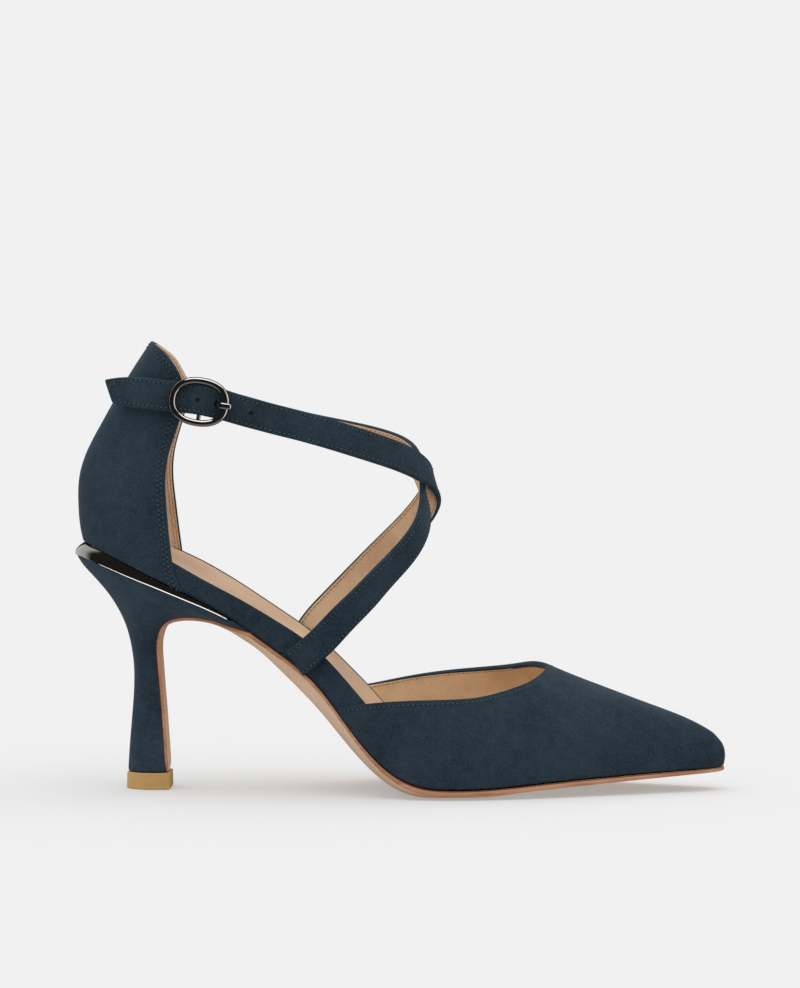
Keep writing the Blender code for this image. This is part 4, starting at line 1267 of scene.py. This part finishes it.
def make_outsole(across=25, breast_rows=67):
    shares = np.linspace(-1.0, 1.0, across)
    places = sole_places()
    rings = []
    for place in places[places >= place_of(SOLE_LEAVES) - 1e-6][::-1]:
        x, y = rung(place, shares, last("margin", x_at(place)))
        high = bottom(x, shares) - FIT / 2.0
        thick = last("sole", x) + arch_swell(x) * (1.0 - shares**2)
        low = np.maximum(high - thick, 0.0)
        top, under = (np.stack([x, y, z], axis=-1) for z in (high, low))
        rings.append(sole_section(top, under, SOLE_EDGE_SWELL))
    for index in np.linspace(1.0, len(HEEL) - 1, breast_rows):
        rings.append(sole_section(*breast_ring(index, shares), BREAST_EDGE_SWELL))
    rings = np.array(rings)
    under_from = across + EDGE_POINTS
    under_to = under_from + across
    finish = np.zeros(rings.shape[1], int)
    finish[across - 1 : under_from] = 1
    finish[under_to - 1 :] = 1
    # The top strip of each edge is painted dark: painted shade of the gap under the upper
    finish[[across - 1, -1]] = 2
    pattern = Pattern()
    pattern.add(rings, np.broadcast_to(finish, (len(rings) - 1, len(finish))), closed=True)
    for ring in (rings[0], rings[-1]):
        pattern.add(np.stack([ring[:across], ring[under_from:under_to][::-1]]), 1)
    outsole = pattern.sew("sole", [sole_leather, sole_edge, sole_seam])
    soften(outsole, 50.0)
    dress(outsole, "sole_leather", "outsole")


def wedge_top(x):
    return feather(x) - FIT / 2.0


def wedge_under(x):
    return wedge_top(x) - WEDGE_TRACK(x)


def heel_seat(x):
    """The heel's seat: clear under the wedge, and up to the feather in front of it."""
    ahead = np.clip((x - WEDGE[-1].x - SEAT_STEP) / SEAT_RISE, 0.0, 1.0)
    under = wedge_under(x) - FIT
    return under + (wedge_top(x) - under) * ahead


def make_wedge(columns=60, rows=7):
    """The metal wedge: a plain side, pushed out early at its back, over a small bevelled ledge."""
    edges = np.array([-1.0, 1.0])
    rings = []
    for place in np.linspace(SOLE_END, place_of(WEDGE[-1].x), columns):
        height = float(WEDGE_TRACK(x_at(place)))
        grown = np.clip(x_at(place) / WEDGE_LEDGE_GROWS, WEDGE_LEDGE_LEAST, 1.0)
        ledge = min(WEDGE_LEDGE * grown, height / 2.0)
        foot = WEDGE_LEDGE_FOOT * ledge
        lip = WEDGE_LOW_LIP + WEDGE_LEDGE_SLOPE * ledge
        depths = np.append(np.linspace(0.0, height - ledge - foot, rows), [height - foot, height])
        grows = np.append(np.linspace(WEDGE_TOP_LIP, WEDGE_LOW_LIP, rows), [lip, lip])
        lateral, medial = [], []
        for share, grow in zip(depths / height, grows):
            x, y = rung(place, edges, grow, WEDGE_TAIL * (1.0 - (1.0 - share) ** WEDGE_TAIL_BEND))
            z = wedge_top(x) + (wedge_under(x) - wedge_top(x)) * share
            near, far = np.stack([x, y, z], axis=-1)
            lateral.append(near)
            medial.append(far)
        rings.append(lateral[::-1] + medial)
    wedge = loft(rings).sew("heel_wedge_trim", [gun_metal])
    soften(wedge, 25.0)
    dress(wedge, "gun_metal", "heel_wedge")


def heel_ring(row, corners=28, flats=10):
    """A round-backed, flat-fronted section between the back and breast edges."""
    bend = np.linspace(math.radians(HEEL_BACK_FLAT), math.pi / 2.0, corners)
    depth = HEEL_ROUND * (1.0 - np.cos(bend))
    wide = row.half * np.sin(bend)
    ahead = np.linspace(0.0, 1.0, flats + 1)[1:]
    depth = np.concatenate([depth, HEEL_ROUND + (1.0 - HEEL_ROUND) * ahead])
    wide = np.concatenate([wide, row.half + (row.breast_half - row.half) * ahead**2])
    x = row.back_x + (row.breast_x - row.back_x) * depth
    z = row.back_z + (row.breast_z - row.back_z) * depth + row.bulge * 4.0 * depth * (1.0 - depth)
    medial = np.stack([x, wide, z], axis=-1)
    return np.concatenate([medial[::-1] * [1.0, -1.0, 1.0], medial])


def make_heel(rows=110):
    """The covered heel; its cover rolls in round the foot."""
    seat = heel_ring(HEEL[0])
    lift = heel_seat(seat[:, 0]) - seat[:, 2]
    rings = []
    for index in np.linspace(0.0, COVER_END, rows):
        ring = heel_ring(heel_row(index))
        ring[:, 2] += lift * max(0.0, 1.0 - index)
        rings.append(ring)
    for index, inset in HEEL_ROLL:
        ring = heel_ring(heel_row(index))
        rings.append(ring + inset * unit(ring.mean(axis=0) - ring))
    # The cover takes the suede that is painted lighter for the heel's shade
    heel = loft(rings).sew("heel_cover", [heel_suede])
    soften(heel, 45.0)
    dress(heel, "suede", "heel")


def make_top_piece(bevel=0.3, flare=0.25):
    """The wearing piece, flared down to a floor that is bevelled like its top."""
    ring = heel_ring(TOP_PIECE) * [1.0, 1.0, 0.0]
    middle = np.array([(TOP_PIECE.back_x + TOP_PIECE.breast_x) / 2.0, 0.0, 0.0])
    inward = unit(middle - ring)
    high = TOP_PIECE.back_z
    levels = ((high, bevel), (high - bevel, 0.0), (bevel, -flare), (0.0, bevel - flare))
    rings = [ring + inset * inward + np.array([0.0, 0.0, z]) for z, inset in levels]
    top_piece = loft(rings).sew("heel_top_piece", [rubber])
    soften(top_piece, 30.0)
    dress(top_piece, "rubber", "top_piece")


# Straps


class StrapLine:
    """A strap's middle line with its own directions: along it, out from the foot and down its width."""

    def __init__(self, rows, bow_at=None):
        points = np.array([[row.x, row.y, row.z] for row in rows])
        run = run_along(points)
        self.length = run[-1]
        self.line = Track(run, points)
        self.lean = Track(run, np.radians(column(rows, "lean")))
        self.swing = Track(run, np.radians(column(rows, "swing")))
        self.bow_at = None if bow_at is None else run[bow_at]

    def frame(self, at):
        reach = 0.2
        point = self.line(at)
        along = unit(self.line(min(at + reach, self.length)) - self.line(max(at - reach, 0.0)))
        lean = float(self.lean(at))
        heading = math.atan2(point[1] / ANKLE_WIDE**2, (point[0] - ANKLE_MIDDLE) / ANKLE_LONG**2)
        heading += float(self.swing(at))
        level_out = np.array([math.cos(heading), math.sin(heading), 0.0])
        out = level_out * math.cos(lean) + np.array([0.0, 0.0, math.sin(lean)])
        out = unit(out - along * np.dot(out, along))
        return point, along, out, np.cross(along, out)

    def bowed(self, at):
        """The frame, lifted where the strap rides over the buckle's bar."""
        point, along, out, down = self.frame(at)
        if self.bow_at is not None and abs(at - self.bow_at) < STRAP_BOW_REACH:
            turn = math.pi * (at - self.bow_at) / STRAP_BOW_REACH
            point = point + out * STRAP_BOW * (1.0 + math.cos(turn)) / 2.0
        return point, along, out, down

    def across(self, at, share):
        """A place across the strap, lifted and drawn out over the bar and drooping at the loose tail."""
        if self.bow_at is None:
            return share
        near = max(0.0, 1.0 - abs(at - self.bow_at) / STRAP_DRAW_REACH)
        drawn = STRAP_LIFT + STRAP_DRAW * (STRAP_WIDTH / 2.0 - share)
        upper, lower = (float(TAIL_TRACKS[field](at)) for field in TailRow._fields[1:])
        droop = upper + (lower - upper) * (0.5 + share / STRAP_WIDTH)
        return share + droop - drawn * near * near * (3.0 - 2.0 * near)


def strap_section():
    """A strap's section as across and through: a crowned face, rolled edges and a flat lining."""
    half, face = STRAP_WIDTH / 2.0, STRAP_THICK / 2.0
    seam = half - STRAP_SEAM
    shoulder = face - STRAP_CROWN
    near_crown = 0.8 * STRAP_CROWN
    grooves = [
        [(place - GROOVE_HALF, 0.0), (place, -GROOVE_DEPTH), (place + GROOVE_HALF, 0.0)]
        for place in (-seam, seam)
    ]
    crown = [(-seam / 2.0, near_crown), (0.0, STRAP_CROWN), (seam / 2.0, near_crown)]
    outside = np.array(grooves[0] + crown + grooves[1]) + [0.0, shoulder]
    turn = np.linspace(0.0, math.pi / 2.0, 5)
    corner_across = half - STRAP_ROLL + STRAP_ROLL * np.sin(turn)
    corner = np.stack([corner_across, shoulder - STRAP_ROLL * (1.0 - np.cos(turn))], axis=-1)
    low_turn = turn[1:]
    low_across = half - STRAP_LINING_ROLL + STRAP_LINING_ROLL * np.cos(low_turn)
    low = np.stack([low_across, STRAP_LINING_ROLL * (1.0 - np.sin(low_turn)) - face], axis=-1)
    right = np.concatenate([corner, low])
    flat = half - 2.0 * STRAP_LINING_ROLL
    inside = np.array([(flat, -face), (0.0, -face), (-flat, -face)])
    left = right[::-1] * [-1.0, 1.0]
    ring = np.concatenate([outside, right, inside, left])
    finish = np.zeros(len(ring), int)
    lining_from = len(outside) + len(right) - 1
    finish[lining_from : lining_from + len(inside) + 1] = 1
    return ring, finish


def make_strap(name, node, line, rows, slant=0.0):
    """A strap from its first row to its last; a slanted start is a loose tail with rounded corners."""
    section, finish = strap_section()
    half = STRAP_WIDTH / 2.0
    beyond = np.clip((np.abs(section[:, :1]) - half + TAIL_ROUND) / TAIL_ROUND, 0.0, 1.0)
    corner = TAIL_ROUND * (1.0 - np.sqrt(1.0 - beyond**2)) if slant else 0.0 * beyond
    rings = []
    for at in np.linspace(0.0, line.length, rows):
        point, along, out, down = line.bowed(at)
        ring = point + line.across(at, section[:, :1]) * down + section[:, 1:] * out
        cut = slant * max(0.0, 1.0 - at / STRAP_WIDTH) * section[:, :1] / half
        cut = cut + corner * max(0.0, 1.0 - at / TAIL_ROUND_FADES)
        rings.append(ring + cut * along)
    rings = np.array(rings)
    pattern = Pattern()
    pattern.add(rings, np.broadcast_to(finish, (rows - 1, len(finish))), closed=True)
    for ring in (rings[0], rings[-1]):
        middle = np.broadcast_to(ring.mean(axis=0), ring.shape)
        pattern.add(np.stack([ring, middle]), closed=True)
    # The third finish is painted shade for the walls of the punched holes
    strap = pattern.sew(name, [suede, lining, hole_edge])
    dress(strap, "suede", node)
    make_strap_stitches(name, line, slant)
    return strap


def make_strap_stitches(name, line, slant, points=160, tail_points=12):
    """A row along each edge, outside and on the lining, and one across a loose tail."""
    outside = Pattern()
    inside = Pattern()
    face = STRAP_THICK / 2.0 - STITCH_SINK
    start = STRAP_SEAM if slant else 0.0
    for side in (-1.0, 1.0):
        across = side * (STRAP_WIDTH / 2.0 - STRAP_SEAM)
        shift = slant * across / (STRAP_WIDTH / 2.0)
        places = np.linspace(start + shift, line.length - STITCHES_STOP, points)
        frames = [line.bowed(at) for at in places]
        middle = np.array([one[0] + line.across(at, across) * one[3] for at, one in zip(places, frames)])
        out = np.array([one[2] for one in frames])
        stitch_row(outside, middle + face * out, out)
        stitch_row(inside, middle - STRAP_THICK / 2.0 * out, -out)
    if slant:
        row, normals = [], []
        for share in np.linspace(-1.0, 1.0, tail_points):
            across = share * (STRAP_WIDTH / 2.0 - STRAP_SEAM)
            at = start + slant * across / (STRAP_WIDTH / 2.0) + slant
            point, _, out, down = line.bowed(at)
            row.append(point + line.across(at, across) * down + face * out)
            normals.append(out)
        stitch_row(outside, np.array(row), np.array(normals))
    dress(outside.sew(f"{name}_stitches", [suede_thread, suede_hole]), "suede")
    dress(inside.sew(f"{name}_lining_stitches", [lining_thread, lining_hole]), "lining")


# Buckle


def tube(path, radius, sides=14, closed=False, guide=(0.0, 0.0, 1.0), spread=1.0):
    """Rings of a wire along a path, spread wider along guide, a direction that the path keeps clear of."""
    path = np.asarray(path, float)
    if closed:
        along = unit(np.roll(path, -1, axis=0) - np.roll(path, 1, axis=0))
    else:
        along = unit(np.gradient(path, axis=0))
    side = unit(np.cross(along, np.asarray(guide)))
    other = np.cross(along, side)
    turn = 2.0 * math.pi * (np.arange(sides) + 0.5) / sides
    radius = np.broadcast_to(radius, len(path))
    rings = [
        point + size * (np.cos(turn)[:, None] * one + spread * np.sin(turn)[:, None] * two)
        for point, size, one, two in zip(path, radius, side, other)
    ]
    return np.array(rings)


def smooth_path(points, count):
    points = np.asarray(points, float)
    run = run_along(points)
    return Track(run, points)(np.linspace(0.0, run[-1], count))


class Buckle:
    """The buckle's frame on the strap, and the pieces made in it."""

    def __init__(self, line):
        point, self.along, self.out, self.down = line.frame(line.bow_at)
        self.point = point + BUCKLE_SAG * self.down

    def place(self, along, down, out):
        return self.point + along * self.along + down * self.down + out * self.out

    def make_frame(self, turns=120):
        angle = 2.0 * math.pi * np.arange(turns) / turns
        power = 2.0 / BUCKLE_OVAL
        long = (BUCKLE_LONG - BUCKLE_BAND) / 2.0
        high = (BUCKLE_HIGH - BUCKLE_BAND) / 2.0
        x = long * np.sign(np.cos(angle)) * np.abs(np.cos(angle)) ** power
        y = high * np.sign(np.sin(angle)) * np.abs(np.sin(angle)) ** power
        path = [self.place(along, down, BUCKLE_LIFT) for along, down in zip(x, y)]
        flat = BUCKLE_WIRE / BUCKLE_BAND
        rings = tube(path, BUCKLE_BAND / 2.0, sides=24, closed=True, guide=self.out, spread=flat)
        pattern = loft(rings, closed=True)
        bend = BUCKLE_WIRE / 2.0
        knee = (high - BAR_LEG_LEAN * bend, -BAR_DROP + bend)
        leg = [(high, BUCKLE_LIFT), knee, (high - bend, -BAR_DROP)]
        bar_path = leg + [(-down, out) for down, out in reversed(leg)]
        bar_points = [self.place(0.0, down, out) for down, out in bar_path]
        bar = tube(bar_points, BAR_WIRE / 2.0 * np.array(BAR_TAPER), guide=self.along)
        pattern.add(bar, closed=True)
        ring = pattern.sew("buckle_ring", [gun_metal])
        dress(ring, "gun_metal", "buckle_frame")

    def make_prong(self):
        rail = (BUCKLE_LONG - BUCKLE_WIRE) / 2.0
        over = BUCKLE_LIFT + (BUCKLE_WIRE + PRONG_WIRE) / 2.0 + FIT
        reach = (BAR_WIRE + PRONG_WIRE) / 2.0 + FIT
        turn = np.radians(np.linspace(*PRONG_CURL, 14))
        path = [(reach * math.cos(a), -BAR_DROP + reach * math.sin(a)) for a in turn]
        path += [*PRONG, (PRONG_LANDS, over), (rail, over), (rail + PRONG_TIP, over - PRONG_WIRE / 2.0)]
        path = smooth_path(path, count=70)
        points = [self.place(along, 0.0, out) for along, out in path]
        radius = np.full(len(points), PRONG_WIRE / 2.0)
        radius[-len(PRONG_TAPER) :] *= PRONG_TAPER
        rings = tube(points, radius, sides=16, guide=self.down, spread=PRONG_SPREAD)
        prong = loft(rings).sew("buckle_tongue", [gun_metal])
        dress(prong, "gun_metal", "buckle_prong")

    def punch(self, strap, line, sides=20):
        """Cut the strap's shallow round holes, and the slanted one that the prong comes up through."""
        turn = 2.0 * math.pi * np.arange(sides) / sides
        holes = [(at, HOLE_SIZE, HOLE_SIZE, 0.0) for at in STRAP_HOLES]
        holes.append((PRONG_HOLE, PRONG_HOLE_LONG, PRONG_HOLE_WIDE, PRONG_SLOPE))
        cutter = Pattern()
        for at, long, wide, slope in holes:
            point, along, out, down = line.bowed(line.bow_at + at)
            ring = long / 2.0 * np.cos(turn)[:, None] * along + wide / 2.0 * np.sin(turn)[:, None] * down
            depths = (PRONG_HOLE_FLOOR if slope else 0.0, PUNCH_REACH)
            rings = np.stack([point + ring + depth * (out + slope * along) for depth in depths])
            # The holes' walls take the third finish, painted shade
            cutter.add(rings, 2, closed=True)
            for end in rings:
                middle = np.broadcast_to(end.mean(axis=0), end.shape)
                cutter.add(np.stack([end, middle]), 2, closed=True)
        tool = cutter.sew("strap_punch", [suede, lining, hole_edge])
        cut = strap.modifiers.new("holes", "BOOLEAN")
        cut.operation = "DIFFERENCE"
        cut.object = tool
        cut.solver = "EXACT"
        punched = strap.evaluated_get(bpy.context.evaluated_depsgraph_get())
        mesh = bpy.data.meshes.new_from_object(punched)
        strap.modifiers.clear()
        strap.data = mesh
        bpy.data.objects.remove(tool)


# Stage, light and camera


def make_camera():
    camera = bpy.data.cameras.new("camera")
    camera.sensor_width = SENSOR
    camera.lens = FOCAL_PIXELS * SENSOR / PICTURE_HEIGHT
    eye = bpy.data.objects.new("camera", camera)
    bpy.context.scene.collection.objects.link(eye)
    aim = Vector((np.array(CAMERA_AIM) + SEAT) * MM)
    azimuth, elevation = math.radians(CAMERA_AZIMUTH), math.radians(CAMERA_ELEVATION)
    back = Vector((
        math.sin(azimuth) * math.cos(elevation),
        -math.cos(azimuth) * math.cos(elevation),
        math.sin(elevation),
    ))
    eye.location = aim + back * CAMERA_DISTANCE
    eye.rotation_euler = (-back).to_track_quat("-Z", "Y").to_euler()
    bpy.context.scene.camera = eye


def make_floor():
    """A wide sheet of pale paper, lit a little from below so that shadows stay light."""
    finish = Finish("paper")
    finish.done(
        Base_Color=(PAPER, PAPER, PAPER, 1.0),
        Roughness=1.0,
        Specular_IOR_Level=0.0,
        Emission_Color=(1.0, 1.0, 1.0, 1.0),
        Emission_Strength=FLOOR_GLOW,
    )
    corners = [(-FLOOR_REACH, -FLOOR_REACH), (FLOOR_REACH, -FLOOR_REACH),
               (FLOOR_REACH, FLOOR_REACH), (-FLOOR_REACH, FLOOR_REACH)]
    mesh = bpy.data.meshes.new("floor")
    mesh.from_pydata([(x, y, 0.0) for x, y in corners], [], [(0, 1, 2, 3)])
    mesh.materials.append(finish.material)
    floor = bpy.data.objects.new("floor", mesh)
    bpy.context.scene.collection.objects.link(floor)
    floor.visible_glossy = False


def add_patches(nodes, axes, base, patches):
    """An even light with patches added to it, each with soft ends along the axes that it has."""
    total = base
    for patch in patches.values():
        light = patch.light
        for axis, ends in zip(axes, patch[1:]):
            if ends:
                light = light * nodes.between(axis, *ends)
        total = total + light
    return total


def make_light():
    """A white studio with a wide soft light overhead; metal mirrors a dark room with a few bright panels."""
    world = bpy.data.worlds.new("studio")
    world.use_nodes = True
    bpy.context.scene.world = world
    bpy.context.scene.view_settings.view_transform = "Standard"
    nodes = Nodes(world.node_tree)
    way = nodes.node("ShaderNodeTexCoord", output="Generated")
    axes = [nodes.node("ShaderNodeSeparateXYZ", None, {0: way}, output=axis) for axis in "XYZ"]
    light = add_patches(nodes, axes, WALL_LIGHT, LAMPS)
    mirror = add_patches(nodes, axes, DARK_ROOM, MIRRORED)
    seen = nodes.node("ShaderNodeLightPath", output="Is Camera Ray")
    mirrored = nodes.node("ShaderNodeLightPath", output="Is Glossy Ray")
    light = mirrored * mirror + (1.0 - mirrored) * light
    strength = seen * BACKDROP + (1.0 - seen) * light
    nodes.plug(world.node_tree.nodes["Background"], {"Color": (1.0, 1.0, 1.0, 1.0), "Strength": strength})


def main():
    make_vamp()
    make_counter()
    make_waist_wall("waist_lateral", LATERAL)
    make_waist_wall("waist_medial", MEDIAL)
    make_insole()
    make_outsole()
    make_wedge()
    make_heel()
    make_top_piece()
    over = StrapLine(STRAP_OVER, bow_at=column(STRAP_OVER, "x").index(BUCKLE_X))
    under = StrapLine(STRAP_UNDER)
    strap = make_strap("ankle_strap", "strap_over", over, rows=260, slant=TAIL_SLANT)
    make_strap("cross_strap", "strap_under", under, rows=200)
    buckle = Buckle(over)
    buckle.punch(strap, over)
    buckle.make_frame()
    buckle.make_prong()
    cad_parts["buckle_tab"].data.materials.clear()
    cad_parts["buckle_tab"].data.materials.append(suede)
    make_floor()
    make_light()
    make_camera()


main()
